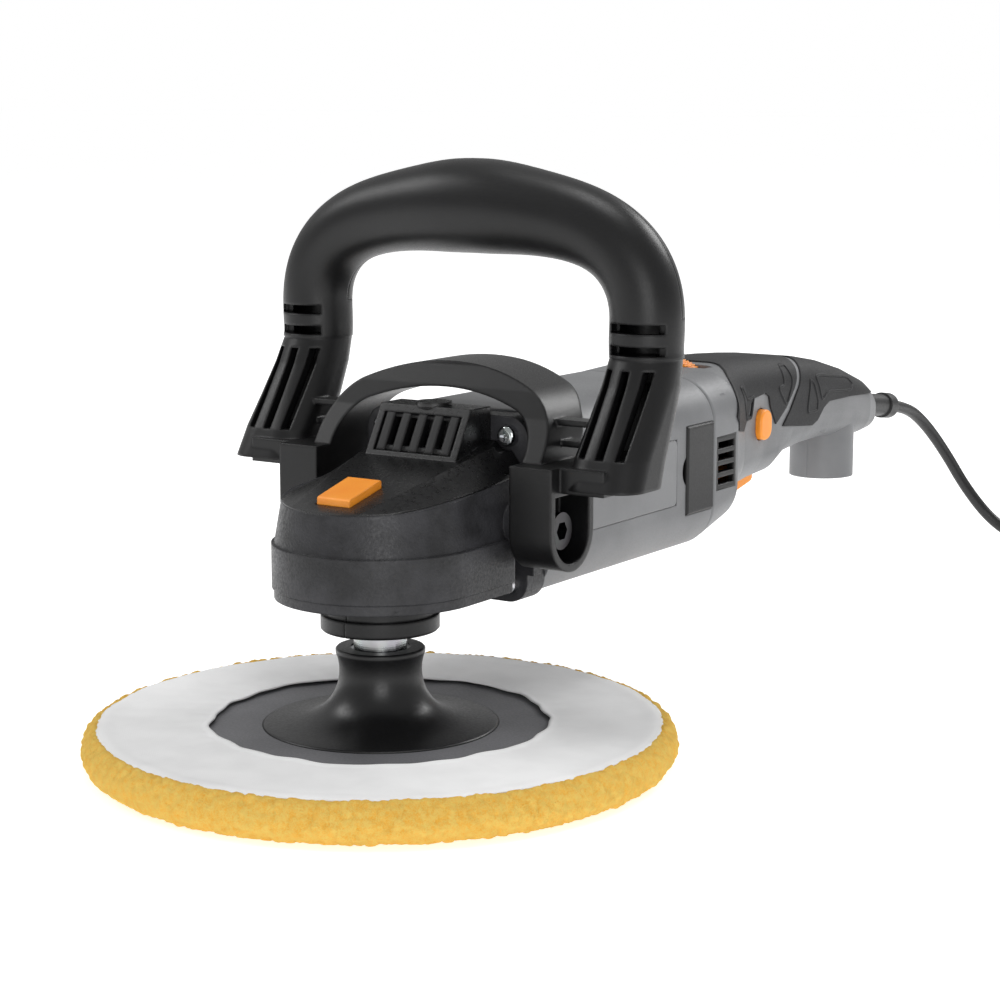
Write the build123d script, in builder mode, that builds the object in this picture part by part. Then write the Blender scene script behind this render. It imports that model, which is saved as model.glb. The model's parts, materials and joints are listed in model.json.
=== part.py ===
from build123d import *
from math import cos, sin, tan, radians, pi
import os

# Rotary polisher with a two-legged loop handle, millimetres.
# Origin: centre of the pad's working face. +Z up the spindle, +Y towards the
# rear handle, +X towards the operator's left hand.

# ---- driving dimensions ----------------------------------------------------
# pad
bonnet_radius = 100.0
bonnet_height = 13.6          # pile, from the working face to its rim
bonnet_backing = 6.0          # pile under the plate
cloth_radius = 95.0
cloth_opening = 56.5
cloth_thickness = 1.2
plate_radius = 88.8
plate_thickness = 6.6
hub_foot_radius = 40.0
hub_neck_radius = 13.9
hub_lip_radius = 15.1
hub_height = 26.2
# spindle
thread_radius = 7.0           # M14
flat_collar_radius = 9.0
flat_width = 17.0
flat_collar_height = 7.0
journal_radius = 6.0
top_journal_radius = 4.0
top_bearing_seat = 8.0        # 8 x 16 x 5 ball bearing
top_bearing_width = 5.0
running_clearance = 0.04
# gear head
head_radius = 36.0
head_base = 60.0              # underside of the casting
head_waist = 75.0             # step line round the casting
head_taper = 10.0
cap_thickness = 3.5
sleeve_radius = 18.9
sleeve_flange_radius = 20.0
sleeve_flange_height = 5.5
sleeve_height = 11.4
rim_front = 88.0              # seam between casting and cover, front
rim_rise = 0.092
# gears
crown_teeth = 40
pinion_teeth = 8
crown_pitch_radius = 25.0
tooth_face = 8.5
backlash = 0.4
# motor
motor_z = 82.0
motor_half_width = 36.0
motor_half_height = 32.5
motor_corner = 17.0
motor_wall = 3.5
flange_front = 39.0
flange_thickness = 11.0
flange_half_width = 33.5
flange_half_height = 32.0
flange_screw_x = 26.0
flange_screw_z = 25.5
housing_end = 166.0
shaft_radius = 5.0
armature_radius = 17.5
air_gap = 0.8
core_start = 78.0
core_length = 50.0
commutator_radius = 10.5
commutator_start = 141.0
commutator_length = 15.0
brush_y = 149.0
brush_cap_radius = 6.5
fan_radius = 26.0
fan_start = 54.0
fan_length = 11.0
# rear handle
handle_wall = 3.0
foot_y = 337.0
foot_radius = 14.3
foot_bottom = 52.5
seam_gap = 0.3                # between the motor housing and the handle shells
rubber_thickness = 1.8
rubber_proud = 0.6
dial_y = 194.0
dial_radius = 22.6
dial_width = 6.6
dial_z = 96.0
button_y = 231.0
button_z = 89.0
button_width = 10.0
button_height = 12.4
button_face = 26.0            # x of the lock-on button's face
button_travel = 3.0
trigger_half_width = 8.7
pivot_y = 207.0
pivot_z = 69.5
slot_clearance = 0.4
# loop handle
leg_x = 69.0
leg_radius = 12.6
loop_y = 57.0
split_y = 58.2                # plane where the two grip shells meet
split_z = 148.0
loop_top = 183.5
bar_radius = 16.3
loop_wall = 3.6
ear_gap = 4.0                 # between the motor housing and the ears
ear_width = 16.3
ear_web = 4.5
tilt_y = 31.0
tilt_z = 78.5
lobe_radius = 13.3
bolt_radius = 4.0
arch_top = 131.0
arch_thickness = 8.5
# cord
cord_radius = 2.8
relief_radius = 5.15
relief_start = (0, 373.0, 80.6)
relief_end = (0, 409.5, 75.8)
coil_x = 98.0
coil_y = 432.0
coil_mean = 32.0
coil_width = 21.0
coil_height = 17.0

# ---- derived places --------------------------------------------------------
ear_inner = motor_half_width + ear_gap
ear_outer = ear_inner + ear_width
plate_bottom = bonnet_backing
plate_top = plate_bottom + plate_thickness
hub_top = plate_top + hub_height
collar_bottom = hub_top + 0.1
collar_top = collar_bottom + flat_collar_height
cap_bottom = head_base - cap_thickness
sleeve_bottom = cap_bottom - sleeve_height
bearing_seat = 14.0           # 12 x 28 x 8 ball bearing
bearing_width = 8.0
bearing_bottom = sleeve_bottom + 3.0
pinion_ratio = pinion_teeth / crown_teeth
head_cavity = head_radius - 7.5
cavity_top = motor_z - 3.0
motor_top = motor_z + motor_half_height
motor_bottom = motor_z - motor_half_height
flange_back = flange_front + flange_thickness
head_rear = flange_front + 5.0
commutator_end = commutator_start + commutator_length
core_end = core_start + core_length
lock_pin_y = -13.0
lock_holes = 8
lock_hole_clearance = 0.4
lock_pin_radius = 2.2
lock_travel = 2.6
button_front = -25.0
button_back = -7.6
button_half = 6.6
button_thickness = 3.0
button_proud = 2.4            # above the deck
window_clearance = 0.5

lock_pocket_floor = 82.6
lock_pocket_radius = 3.7

os.makedirs("parts", exist_ok=True)


def save(builder, name):
    """Label a finished piece and write it."""
    builder.part.label = name
    export_step(builder.part, f"parts/{name}.step")


def deck_height(y):
    """Top surface of the cover, rising from the nose to the grille."""
    return 87.6 + 0.24 * (y + head_radius)


def button_underside(y):
    """Underside of the spindle-lock button, parallel to the deck."""
    return deck_height(y) + button_proud - button_thickness


def turned(corners, mode=Mode.ADD):
    """Revolve (radius, height) corners about the spindle axis."""
    with BuildSketch(Plane.XZ) as outline:
        with BuildLine():
            Polyline(*corners, close=True)
        make_face()
    revolve(outline.sketch, axis=Axis.Z, mode=mode)


def turned_on_motor(corners, mode=Mode.ADD):
    """Revolve (distance along Y, radius) corners about the motor axis."""
    with BuildSketch(Plane(origin=(0, 0, motor_z), x_dir=(0, 1, 0), z_dir=(1, 0, 0))) as outline:
        with BuildLine():
            Polyline(*corners, close=True)
        make_face()
    revolve(outline.sketch, axis=Axis((0, 0, motor_z), (0, 1, 0)), mode=mode)


def block(x, y, z, mode=Mode.ADD):
    """A box from three (low, high) pairs."""
    with Locations(((x[0] + x[1]) / 2, (y[0] + y[1]) / 2, (z[0] + z[1]) / 2)):
        Box(x[1] - x[0], y[1] - y[0], z[1] - z[0], mode=mode)


def rod(start, end, radius, mode=Mode.ADD):
    """A round bar between two points."""
    path = Vector(*end) - Vector(*start)
    with BuildSketch(Plane(origin=start, z_dir=path)) as section:
        Circle(radius)
    extrude(section.sketch, amount=path.length, mode=mode)


def side_prism(points, x, mode=Mode.ADD):
    """Extrude a (y, z) outline between two X planes."""
    with BuildSketch(Plane.YZ.offset(x[0])) as outline:
        with BuildLine():
            Polyline(*points, close=True)
        make_face()
    extrude(outline.sketch, amount=x[1] - x[0], mode=mode)


def across(y, z):
    """Plane that stands across the tool, its x along X and its y up."""
    return Plane(origin=(0, y, z), x_dir=(1, 0, 0), z_dir=(0, -1, 0))


def barrel(stations, grow=0.0, mode=Mode.ADD):
    """Loft rounded rectangles: (y, half width, top, bottom, corner radius)."""
    sections = []
    for y, half_width, top, bottom, corner in stations:
        with BuildSketch(across(y, (top + bottom) / 2)) as section:
            RectangleRounded(2 * (half_width + grow), top - bottom + 2 * grow, corner + grow)
        sections.append(section.sketch)
    loft(sections, ruled=True, mode=mode)


# ---- pad -------------------------------------------------------------------
with BuildPart() as bonnet_pile:
    rim_inner = plate_radius + 0.2
    with BuildSketch(Plane.XZ):
        with BuildLine():
            Line((0, 0), (bonnet_radius - 6.5, 0))
            ThreePointArc(
                (bonnet_radius - 6.5, 0),
                (bonnet_radius, bonnet_height / 2),
                (cloth_radius + 0.2, bonnet_height),
            )
            Polyline(
                (cloth_radius + 0.2, bonnet_height),
                (cloth_radius + 0.2, plate_top),
                (rim_inner, plate_top),
                (rim_inner, plate_bottom),
                (0, plate_bottom),
                (0, 0),
            )
        make_face()
    revolve(axis=Axis.Z)
save(bonnet_pile, "bonnet_pile")

with BuildPart() as bonnet_cloth:
    cloth_top = plate_top + cloth_thickness
    turned([
        (cloth_opening, plate_top),
        (cloth_radius, plate_top),
        (cloth_radius, cloth_top),
        (cloth_opening, cloth_top),
    ])
save(bonnet_cloth, "bonnet_cloth")

with BuildPart() as backing_plate:
    insert_radius = 10.0
    turned([
        (insert_radius, plate_bottom),
        (plate_radius - 2, plate_bottom),
        (plate_radius, plate_bottom + 2),
        (plate_radius, plate_top - 1),
        (plate_radius - 1, plate_top),
        (insert_radius, plate_top),
    ])
save(backing_plate, "backing_plate")

with BuildPart() as plate_hub:
    with BuildSketch(Plane.XZ):
        with BuildLine():
            Line((insert_radius, plate_top), (hub_foot_radius, plate_top))
            Line((hub_foot_radius, plate_top), (hub_foot_radius - 1, plate_top + 0.5))
            Spline(
                (hub_foot_radius - 1, plate_top + 0.5),
                (28.0, plate_top + 2.2),
                (19.6, plate_top + 5.8),
                (15.4, plate_top + 11.4),
                (hub_neck_radius, plate_top + 18.0),
                (hub_lip_radius, hub_top - 1.6),
            )
            Polyline(
                (hub_lip_radius, hub_top - 1.6),
                (hub_lip_radius, hub_top - 0.5),
                (hub_lip_radius - 0.5, hub_top),
                (insert_radius, hub_top),
                (insert_radius, plate_top),
            )
        make_face()
    revolve(axis=Axis.Z)
save(plate_hub, "plate_hub")

with BuildPart() as hub_insert:
    thread_start = plate_top + 8
    turned([
        (0, plate_bottom + 1),
        (insert_radius, plate_bottom + 1),
        (insert_radius, hub_top - 0.3),
        (thread_radius + 1, hub_top - 0.3),
        (thread_radius, hub_top - 1.3),
        (thread_radius, thread_start),
        (0, thread_start),
    ])
save(hub_insert, "hub_insert")

# ---- spindle and gears -----------------------------------------------------
crown_bottom = motor_z - 18.5
crown_web_top = motor_z - 5.2
crown_root_drop = 1.2
spindle_top = motor_z + 6.0
top_bearing_bottom = spindle_top - top_bearing_width - 0.4

with BuildPart() as spindle:
    turned([
        (0, thread_start + 0.5),
        (thread_radius - 1, thread_start + 0.5),
        (thread_radius, thread_start + 1.5),
        (thread_radius, collar_bottom),
        (flat_collar_radius, collar_bottom),
        (flat_collar_radius, collar_top),
        (journal_radius, collar_top),
        (journal_radius, motor_z - 4.0),
        (top_journal_radius, motor_z - 4.0),
        (top_journal_radius, spindle_top - 0.5),
        (top_journal_radius - 0.5, spindle_top),
        (0, spindle_top),
    ])
    for side in (1, -1):
        flat_x = sorted((side * flat_width / 2, side * (flat_collar_radius + 1)))
        block(flat_x, (-12, 12), (collar_bottom, collar_top - 0.8), Mode.SUBTRACT)
save(spindle, "spindle")


def cone_tooth(y_small, y_large, section, mode=Mode.ADD):
    """Loft a tooth towards the point where the gear axes cross.

    section(k) gives the tooth's (x, drop) corners at a scale k of the full size.
    """
    faces = []
    for y in (y_small, y_large):
        with BuildSketch(across(y, motor_z)) as face:
            with BuildLine():
                Polyline(*section(y / crown_pitch_radius), close=True)
            make_face()
        faces.append(face.sketch)
    loft(faces, ruled=True, mode=mode)


tooth_pitch = 2 * pi * crown_pitch_radius / crown_teeth
tooth_width = tooth_pitch / 2 - backlash / 2
pitch_drop = crown_pitch_radius * pinion_ratio
tooth_outer = crown_pitch_radius + 1.0
tooth_inner = tooth_outer - tooth_face


def crown_tooth(k):
    root = pitch_drop + 1.9
    tip = pitch_drop - 0.75
    half_root = tooth_width / 2 + 0.38
    half_tip = tooth_width / 2 - 0.42
    corners = [(-half_root, -root), (half_root, -root), (half_tip, -tip), (-half_tip, -tip)]
    return [(x * k, z * k) for x, z in corners]


def pinion_tooth(k):
    root = pitch_drop - 1.6
    tip = pitch_drop + 0.85
    half_root = tooth_width / 2 + 0.34
    half_tip = tooth_width / 2 - 0.44
    corners = [(-half_root, -root), (half_root, -root), (half_tip, -tip), (-half_tip, -tip)]
    return [(x * k, z * k) for x, z in corners]


with BuildPart() as crown_gear:
    large = (pitch_drop + crown_root_drop) * tooth_outer / crown_pitch_radius
    small = (pitch_drop + crown_root_drop) * tooth_inner / crown_pitch_radius
    turned([
        (journal_radius, crown_bottom),
        (journal_radius + 6, crown_bottom),
        (journal_radius + 8, crown_bottom + 4),
        (tooth_outer - 3, motor_z - large - 4),
        (tooth_outer, motor_z - large - 2.5),
        (tooth_outer, motor_z - large),
        (tooth_inner, motor_z - small),
        (tooth_inner, crown_web_top),
        (journal_radius, crown_web_top),
    ])
    with BuildPart(mode=Mode.PRIVATE) as one_tooth:
        cone_tooth(tooth_inner + 0.2, tooth_outer - 0.2, crown_tooth)
    for index in range(crown_teeth):
        turn = 360.0 / crown_teeth * (index + 0.5)
        add(one_tooth.part.rotate(Axis.Z, turn))
    # ring of holes that the spindle lock's pin drops into
    for index in range(lock_holes):
        turn = 2 * pi * index / lock_holes
        x, y = lock_pin_y * cos(turn), lock_pin_y * sin(turn)
        rod((x, y, crown_bottom - 1), (x, y, crown_web_top + 1), lock_pin_radius + lock_hole_clearance, Mode.SUBTRACT)
save(crown_gear, "crown_gear")

pinion_hub_start = tooth_outer + 1.2
pinion_end = 38.0
with BuildPart() as pinion:
    root_small = (pitch_drop - 1.15) * tooth_inner / crown_pitch_radius
    root_large = (pitch_drop - 1.15) * tooth_outer / crown_pitch_radius
    turned_on_motor([
        (tooth_inner, 0),
        (tooth_inner, root_small),
        (tooth_outer, root_large),
        (pinion_hub_start, root_large),
        (pinion_hub_start, 6.6),
        (pinion_end, 6.6),
        (pinion_end, shaft_radius - 0.5),
        (pinion_hub_start + 1.5, shaft_radius - 0.5),
        (pinion_hub_start + 1.5, 0),
    ])
    with BuildPart(mode=Mode.PRIVATE) as one_leaf:
        cone_tooth(tooth_inner + 0.1, tooth_outer + 0.2, pinion_tooth)
    for index in range(pinion_teeth):
        add(one_leaf.part.rotate(Axis((0, 0, motor_z), (0, 1, 0)), 360.0 / pinion_teeth * index))
save(pinion, "pinion")

# ---- gear head -------------------------------------------------------------
def head_outline(radius):
    """Round nose with straight cheeks that run back into the flange."""
    Circle(radius)
    with Locations((0, head_rear / 2)):
        Rectangle(2 * radius, head_rear)


def upper_head(height, shrink=0.0, mode=Mode.ADD):
    """Tapered upper block of the head, shared by the casting and its cover."""
    with BuildSketch(Plane.XY.offset(head_waist)) as outline:
        head_outline(head_radius - 1.0 - shrink)
    extrude(outline.sketch, amount=height, taper=head_taper, mode=mode)


rim_plane = Plane(
    origin=(0, -head_radius, rim_front),
    x_dir=(1, 0, 0),
    z_dir=(0, -rim_rise, 1),
)

boss_end = ear_inner - 0.3

with BuildPart() as gear_housing:
    with BuildSketch(Plane.XY.offset(head_base)) as lower_outline:
        head_outline(head_radius)
    extrude(lower_outline.sketch, amount=head_waist - head_base)
    upper_head(25)
    split(bisect_by=rim_plane, keep=Keep.BOTTOM)
    # seats and cavity
    turned([(0, head_base - 1), (head_cavity, head_base - 1), (head_cavity, cavity_top), (0, cavity_top)],
           Mode.SUBTRACT)
    turned([
        (0, cavity_top - 1),
        (top_bearing_seat, cavity_top - 1),
        (top_bearing_seat, spindle_top + 0.4),
        (0, spindle_top + 0.4),
    ], Mode.SUBTRACT)
    turned_on_motor([(0, 0), (0, 9.0), (flange_front + 1, 9.0), (flange_front + 1, 0)], Mode.SUBTRACT)
    # pocket in front of each lower flange screw
    for side in (1, -1):
        pocket_x = sorted((side * 19.5, side * (head_radius + 2)))
        block(pocket_x, (27.5, flange_front), (head_base - 2, head_base + 8), Mode.SUBTRACT)
    # flange that carries the motor housing
    with BuildSketch(across(flange_front, motor_z)) as flange_outline:
        RectangleRounded(2 * flange_half_width, 2 * flange_half_height, 7.5)
    extrude(flange_outline.sketch, amount=-flange_thickness)
    turned_on_motor([
        (flange_front - 1, 0),
        (flange_front - 1, 12.0),
        (flange_front + 2, 12.0),
        (flange_front + 2, 15.0),
        (flange_back + 1, 15.0),
        (flange_back + 1, 0),
    ], Mode.SUBTRACT)
    for x in (flange_screw_x, -flange_screw_x):
        for dz in (flange_screw_z, -flange_screw_z):
            rod((x, flange_front - 1, motor_z + dz), (x, flange_back + 1, motor_z + dz), 2.1, Mode.SUBTRACT)
    # bosses for the loop handle's bolts
    for side in (1, -1):
        rod((side * 28, tilt_y, tilt_z), (side * boss_end, tilt_y, tilt_z), 8.2)
        rod((side * 27, tilt_y, tilt_z), (side * (boss_end + 1), tilt_y, tilt_z), bolt_radius,
            Mode.SUBTRACT)
    # spindle lock: pin bore and spring pocket
    rod((0, lock_pin_y, cavity_top - 1), (0, lock_pin_y, 100), lock_pin_radius + 0.06, Mode.SUBTRACT)
    rod((0, lock_pin_y, lock_pocket_floor), (0, lock_pin_y, 100), lock_pocket_radius, Mode.SUBTRACT)
    side_prism([
        (button_front - 1.2, button_underside(button_front - 1.2) - lock_travel - 0.4),
        (button_front - 1.2, 110), (button_back + 1.2, 110),
        (button_back + 1.2, button_underside(button_back + 1.2) - lock_travel - 0.4),
    ], (-button_half - 1.0, button_half + 1.0), Mode.SUBTRACT)
    # air ducts from the fan to the outlet
    for x in (-9.0, 9.0):
        block((x - 6, x + 6), (flange_front - 12, flange_back + 1), (motor_z + 17, motor_z + 27),
            Mode.SUBTRACT)
save(gear_housing, "gear_housing")

with BuildPart() as bearing_cap:
    with BuildSketch(Plane.XY.offset(cap_bottom)) as cap_outline:
        Circle(head_radius - 0.7)
        with Locations((0, 13.5)):
            Rectangle(2 * (head_radius - 0.7), 27)
    extrude(cap_outline.sketch, amount=cap_thickness)
    turned([(0, head_base), (head_cavity - 0.05, head_base), (head_cavity - 0.05, head_base + 2),
        (0, head_base + 2)])
    neck_radius = 17.0
    turned([(0, sleeve_bottom + 1), (neck_radius, sleeve_bottom + 1), (neck_radius, head_base),
        (0, head_base)])
    turned([
        (0, sleeve_bottom),
        (flat_collar_radius + 1, sleeve_bottom),
        (flat_collar_radius + 1, bearing_bottom),
        (bearing_seat, bearing_bottom),
        (bearing_seat, bearing_bottom + bearing_width),
        (bearing_seat - 1, bearing_bottom + bearing_width),
        (bearing_seat - 1, head_base + 3),
        (0, head_base + 3),
    ], Mode.SUBTRACT)
    cap_screws_at = [(22.4, -22.4), (-22.4, -22.4), (31.5, 10.0), (-31.5, 10.0)]
    for x, y in cap_screws_at:
        rod((x, y, cap_bottom - 1), (x, y, head_base), 2.0, Mode.SUBTRACT)
        rod((x, y, cap_bottom - 1), (x, y, cap_bottom + 1.6), 3.4, Mode.SUBTRACT)
save(bearing_cap, "bearing_cap")

with BuildPart() as cap_screws:
    for x, y in cap_screws_at:
        rod((x, y, cap_bottom + 0.1), (x, y, cap_bottom + 1.6), 3.3)
        rod((x, y, cap_bottom + 1.6), (x, y, head_base), 2.0)
save(cap_screws, "cap_screws")

with BuildPart() as neck_sleeve:
    turned([
        (neck_radius, sleeve_bottom + 1),
        (neck_radius, cap_bottom),
        (sleeve_radius, cap_bottom),
        (sleeve_radius, sleeve_bottom + sleeve_flange_height),
        (sleeve_flange_radius, sleeve_bottom + sleeve_flange_height),
        (sleeve_flange_radius, sleeve_bottom + 0.6),
        (sleeve_flange_radius - 0.6, sleeve_bottom),
        (flat_collar_radius + 1, sleeve_bottom),
        (flat_collar_radius + 1, sleeve_bottom + 1),
    ])
    block((-0.25, 0.25), (-25, -5), (sleeve_bottom - 1, cap_bottom + 1), Mode.SUBTRACT)
save(neck_sleeve, "neck_sleeve")


def ball_bearing(inner, outer, low, width, mode=Mode.ADD):
    """Corners of a sealed ball bearing: rings with a shallow seal groove on each face."""
    ring_in = inner + (outer - inner) * 0.28
    ring_out = outer - (outer - inner) * 0.24
    high = low + width
    return [
        (inner, low), (ring_in, low), (ring_in, low + 0.5), (ring_out, low + 0.5),
        (ring_out, low), (outer, low), (outer, high), (ring_out, high),
        (ring_out, high - 0.5), (ring_in, high - 0.5), (ring_in, high), (inner, high),
    ]


with BuildPart() as spindle_bearings:
    turned(ball_bearing(journal_radius + running_clearance, bearing_seat, bearing_bottom, bearing_width))
    turned(ball_bearing(top_journal_radius + running_clearance, top_bearing_seat, top_bearing_bottom,
        top_bearing_width))
save(spindle_bearings, "spindle_bearings")

# ---- head cover, outlet grille and spindle lock ----------------------------
deck_front = -head_radius - 0.5
grille_foot = 17.5
grille_top = 117.0
grille_crest = 27.0
cover_rear = flange_front - 0.1
cover_wall = 2.4


def deck_loft(inset, y_from, y_to, mode=Mode.ADD):
    """Hipped roof: a flat deck with a sloping facet down each side."""
    sections = []
    for y in (y_from, y_to):
        half_deck = 12.6 + 0.165 * (y + head_radius) - inset
        eaves = 88.4 + 0.105 * (y + head_radius) - inset
        top = deck_height(y) - inset
        with BuildSketch(across(y, 0)) as section:
            with BuildLine():
                Polyline(
                    (-34 + inset, 70), (34 - inset, 70), (34 - inset, eaves - 2.4),
                    (half_deck, top), (-half_deck, top), (-34 + inset, eaves - 2.4),
                    close=True,
                )
            make_face()
        sections.append(section.sketch)
    loft(sections, ruled=True, mode=mode)


def grille_block(inset, mode=Mode.ADD):
    """Raised block behind the deck: sloped face, flat top."""
    side_prism([
        (grille_foot + inset, 84), (grille_foot + inset, deck_height(grille_foot)),
        (grille_crest + inset * 0.5, grille_top - inset),
        (cover_rear - inset, grille_top - inset), (cover_rear - inset, 84),
    ], (-18.6 + inset, 18.6 - inset), mode)


with BuildPart() as head_cover:
    deck_loft(0, deck_front, cover_rear)
    upper_head(40, mode=Mode.INTERSECT)
    deck_loft(cover_wall, -head_radius + 7, cover_rear - cover_wall, Mode.SUBTRACT)
    grille_block(0)
    grille_block(cover_wall, Mode.SUBTRACT)
    split(bisect_by=rim_plane, keep=Keep.TOP)
    # window for the spindle-lock button, open at the front lip
    block((-button_half - window_clearance, button_half + window_clearance),
          (button_front - window_clearance, button_back + window_clearance), (70, 120), Mode.SUBTRACT)
    # window for the outlet grille
    side_prism([
        (grille_foot - 6, 101.9), (grille_foot + 4.4, 101.9), (grille_crest + 4, grille_top - 2.6),
        (grille_crest - 8, grille_top - 2.6),
    ], (-16.0, 16.0), Mode.SUBTRACT)
    # room for the heads of the upper flange screws
    for x in (flange_screw_x, -flange_screw_x):
        rod((x, cover_rear - 6, motor_z + flange_screw_z), (x, cover_rear + 1, motor_z + flange_screw_z),
            5.0,
            Mode.SUBTRACT)
    # round cap on the block
    rod((0, 32, grille_top - 0.5), (0, 32, grille_top + 1.2), 6.2)
save(head_cover, "head_cover")

with BuildPart() as outlet_grille:
    lean = (grille_crest - grille_foot) / (grille_top - deck_height(grille_foot))

    def on_face(z):
        return grille_foot + lean * (z - deck_height(grille_foot))

    low_z, high_z = 102.0, grille_top - 2.7
    for x in (-13.2, -6.6, 0.0, 6.6, 13.2):
        side_prism([
            (on_face(low_z) + 0.1, low_z), (on_face(low_z) + 3.6, low_z),
            (on_face(high_z) + 3.6, high_z), (on_face(high_z) + 0.1, high_z),
        ], (x - 1.7, x + 1.7))
    for z in (low_z, high_z - 1.6):
        side_prism([
            (on_face(z) + 1.2, z), (on_face(z) + 3.6, z),
            (on_face(z + 1.6) + 3.6, z + 1.6), (on_face(z + 1.6) + 1.2, z + 1.6),
        ], (-15.9, 15.9))
save(outlet_grille, "outlet_grille")

with BuildPart() as lock_button:
    top_front = deck_height(button_front) + button_proud
    top_back = deck_height(button_back) + button_proud
    side_prism([
        (button_front, button_underside(button_front)),
        (button_front, top_front - 0.6),
        (button_front + 0.6, top_front),
        (button_back - 0.6, top_back),
        (button_back, top_back - 0.6),
        (button_back, button_underside(button_back)),
    ], (-button_half, button_half))
save(lock_button, "spindle_lock_button")

pin_top = button_underside(lock_pin_y - 3)
with BuildPart() as lock_pin:
    rod((0, lock_pin_y, crown_web_top + 0.3), (0, lock_pin_y, pin_top), lock_pin_radius)
    rod((0, lock_pin_y, pin_top - 1.0), (0, lock_pin_y, pin_top), 3.0)
save(lock_pin, "spindle_lock_pin")


def coil_spring(base, direction, length, coil_radius, wire, turns):
    """A compression spring that stands on base with its axis along direction."""
    first_turn = tuple(Vector(*base) + Vector(*direction) * (wire * 0.7))
    height = length - wire * 1.4
    with BuildPart(mode=Mode.PRIVATE) as spring:
        with BuildLine() as wire_line:
            Helix(pitch=height / turns, height=height, radius=coil_radius, center=first_turn,
                direction=direction)
        with BuildSketch(Plane(origin=wire_line.line @ 0, z_dir=wire_line.line % 0)) as wire_section:
            Circle(wire / 2)
        sweep(wire_section.sketch, path=wire_line.line, is_frenet=True)
    return spring.part


with BuildPart() as lock_spring:
    add(coil_spring((0, lock_pin_y, lock_pocket_floor), (0, 0, 1), pin_top - 1.0 - lock_pocket_floor, 2.9,
        0.6, 5))
save(lock_spring, "spindle_lock_spring")

# ---- motor -----------------------------------------------------------------
housing_stations = [
    (flange_back, motor_half_width, motor_top, motor_bottom, motor_corner),
    (housing_end, motor_half_width, motor_top, motor_bottom, motor_corner),
]
panel_y = (60.0, 138.0)
panel_z = (70.0, 95.0)
panel_depth = 0.9
trim_y = (145.0, housing_end)
trim_z = (65.0, 99.0)
trim_depth = 1.2
bulkhead_start = housing_end - 7.0

with BuildPart() as motor_housing:
    barrel(housing_stations)
    cavity = [
        (flange_back - 1, *housing_stations[0][1:]),
        (bulkhead_start, *housing_stations[1][1:]),
    ]
    barrel(cavity, -motor_wall, Mode.SUBTRACT)
    # rear bearing seat with open arms round it
    turned_on_motor([(bulkhead_start - 1, 0), (bulkhead_start - 1, 11.0), (housing_end + 1, 11.0),
                     (housing_end + 1, 0)], Mode.SUBTRACT)
    for dx in (1, -1):
        for dz in (1, -1):
            block(sorted((dx * 13.5, dx * 29)), (bulkhead_start - 1, housing_end + 1),
                  sorted((motor_z + dz * 4, motor_z + dz * 22)), Mode.SUBTRACT)
    # posts for the flange screws
    for x in (flange_screw_x, -flange_screw_x):
        for dz in (flange_screw_z, -flange_screw_z):
            rod((x, flange_back, motor_z + dz), (x, core_start - 6, motor_z + dz), 4.6)
            rod((x, flange_back - 1, motor_z + dz), (x, core_start - 8, motor_z + dz), 1.9, Mode.SUBTRACT)
    # recesses for the side panels and trims, holes for the brushes
    for side in (1, -1):
        outer = side * (motor_half_width + 1)
        block(sorted((outer, side * (motor_half_width - panel_depth))), panel_y, panel_z, Mode.SUBTRACT)
        block(sorted((outer, side * (motor_half_width - trim_depth))), (trim_y[0], trim_y[1] + 1),
              trim_z, Mode.SUBTRACT)
        rod((side * 25, brush_y, motor_z), (side * (motor_half_width + 4), brush_y, motor_z),
            brush_cap_radius + 0.1, Mode.SUBTRACT)
save(motor_housing, "motor_housing")

with BuildPart() as side_panels:
    for side in (1, -1):
        with BuildPart(mode=Mode.PRIVATE) as one_panel:
            block(sorted((side * (motor_half_width - panel_depth), side * (motor_half_width + 0.1))),
                  (panel_y[0] + 0.2, panel_y[1] - 0.2), (panel_z[0] + 0.2, panel_z[1] - 0.2))
            fillet(one_panel.edges().filter_by(Axis.X), 2.0)
        add(one_panel.part)
save(side_panels, "side_panels")

with BuildPart() as side_trims:
    for side in (1, -1):
        with BuildPart(mode=Mode.PRIVATE) as one_trim:
            block(sorted((side * (motor_half_width - trim_depth), side * (motor_half_width + 0.8))),
                  (trim_y[0] + 0.2, trim_y[1]), (trim_z[0] + 0.2, trim_z[1] - 0.2))
            chamfer(one_trim.faces().sort_by(Axis.X)[-1 if side > 0 else 0].edges(), 0.6)
        add(one_trim.part)
save(side_trims, "side_trims")

with BuildPart() as flange_screws:
    for x in (flange_screw_x, -flange_screw_x):
        for dz in (flange_screw_z, -flange_screw_z):
            centre = (x, flange_front, motor_z + dz)
            with BuildPart(mode=Mode.PRIVATE) as one_screw:
                rod(centre, (x, core_start - 9, motor_z + dz), 1.9)
                with BuildSketch(across(flange_front, motor_z + dz)) as head_circle:
                    with Locations((x, 0)):
                        Circle(3.9)
                extrude(head_circle.sketch, amount=2.9, taper=12)
                fillet(one_screw.edges().sort_by(Axis.Y)[0], 1.6)
                for size in ((3.6, 0.8), (0.8, 3.6)):
                    with Locations((x, flange_front - 2.9, motor_z + dz)):
                        Box(size[0], 2.4, size[1], mode=Mode.SUBTRACT)
            add(one_screw.part)
save(flange_screws, "flange_screws")

with BuildPart() as motor_bearings:
    for corners in (
        ball_bearing(shaft_radius + running_clearance, 15.0, flange_front + 2, 8.8),
        ball_bearing(4.0 + running_clearance, 11.0, bulkhead_start, 6.9),
    ):
        turned_on_motor([(y, r) for r, y in corners])
save(motor_bearings, "motor_bearings")

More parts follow.
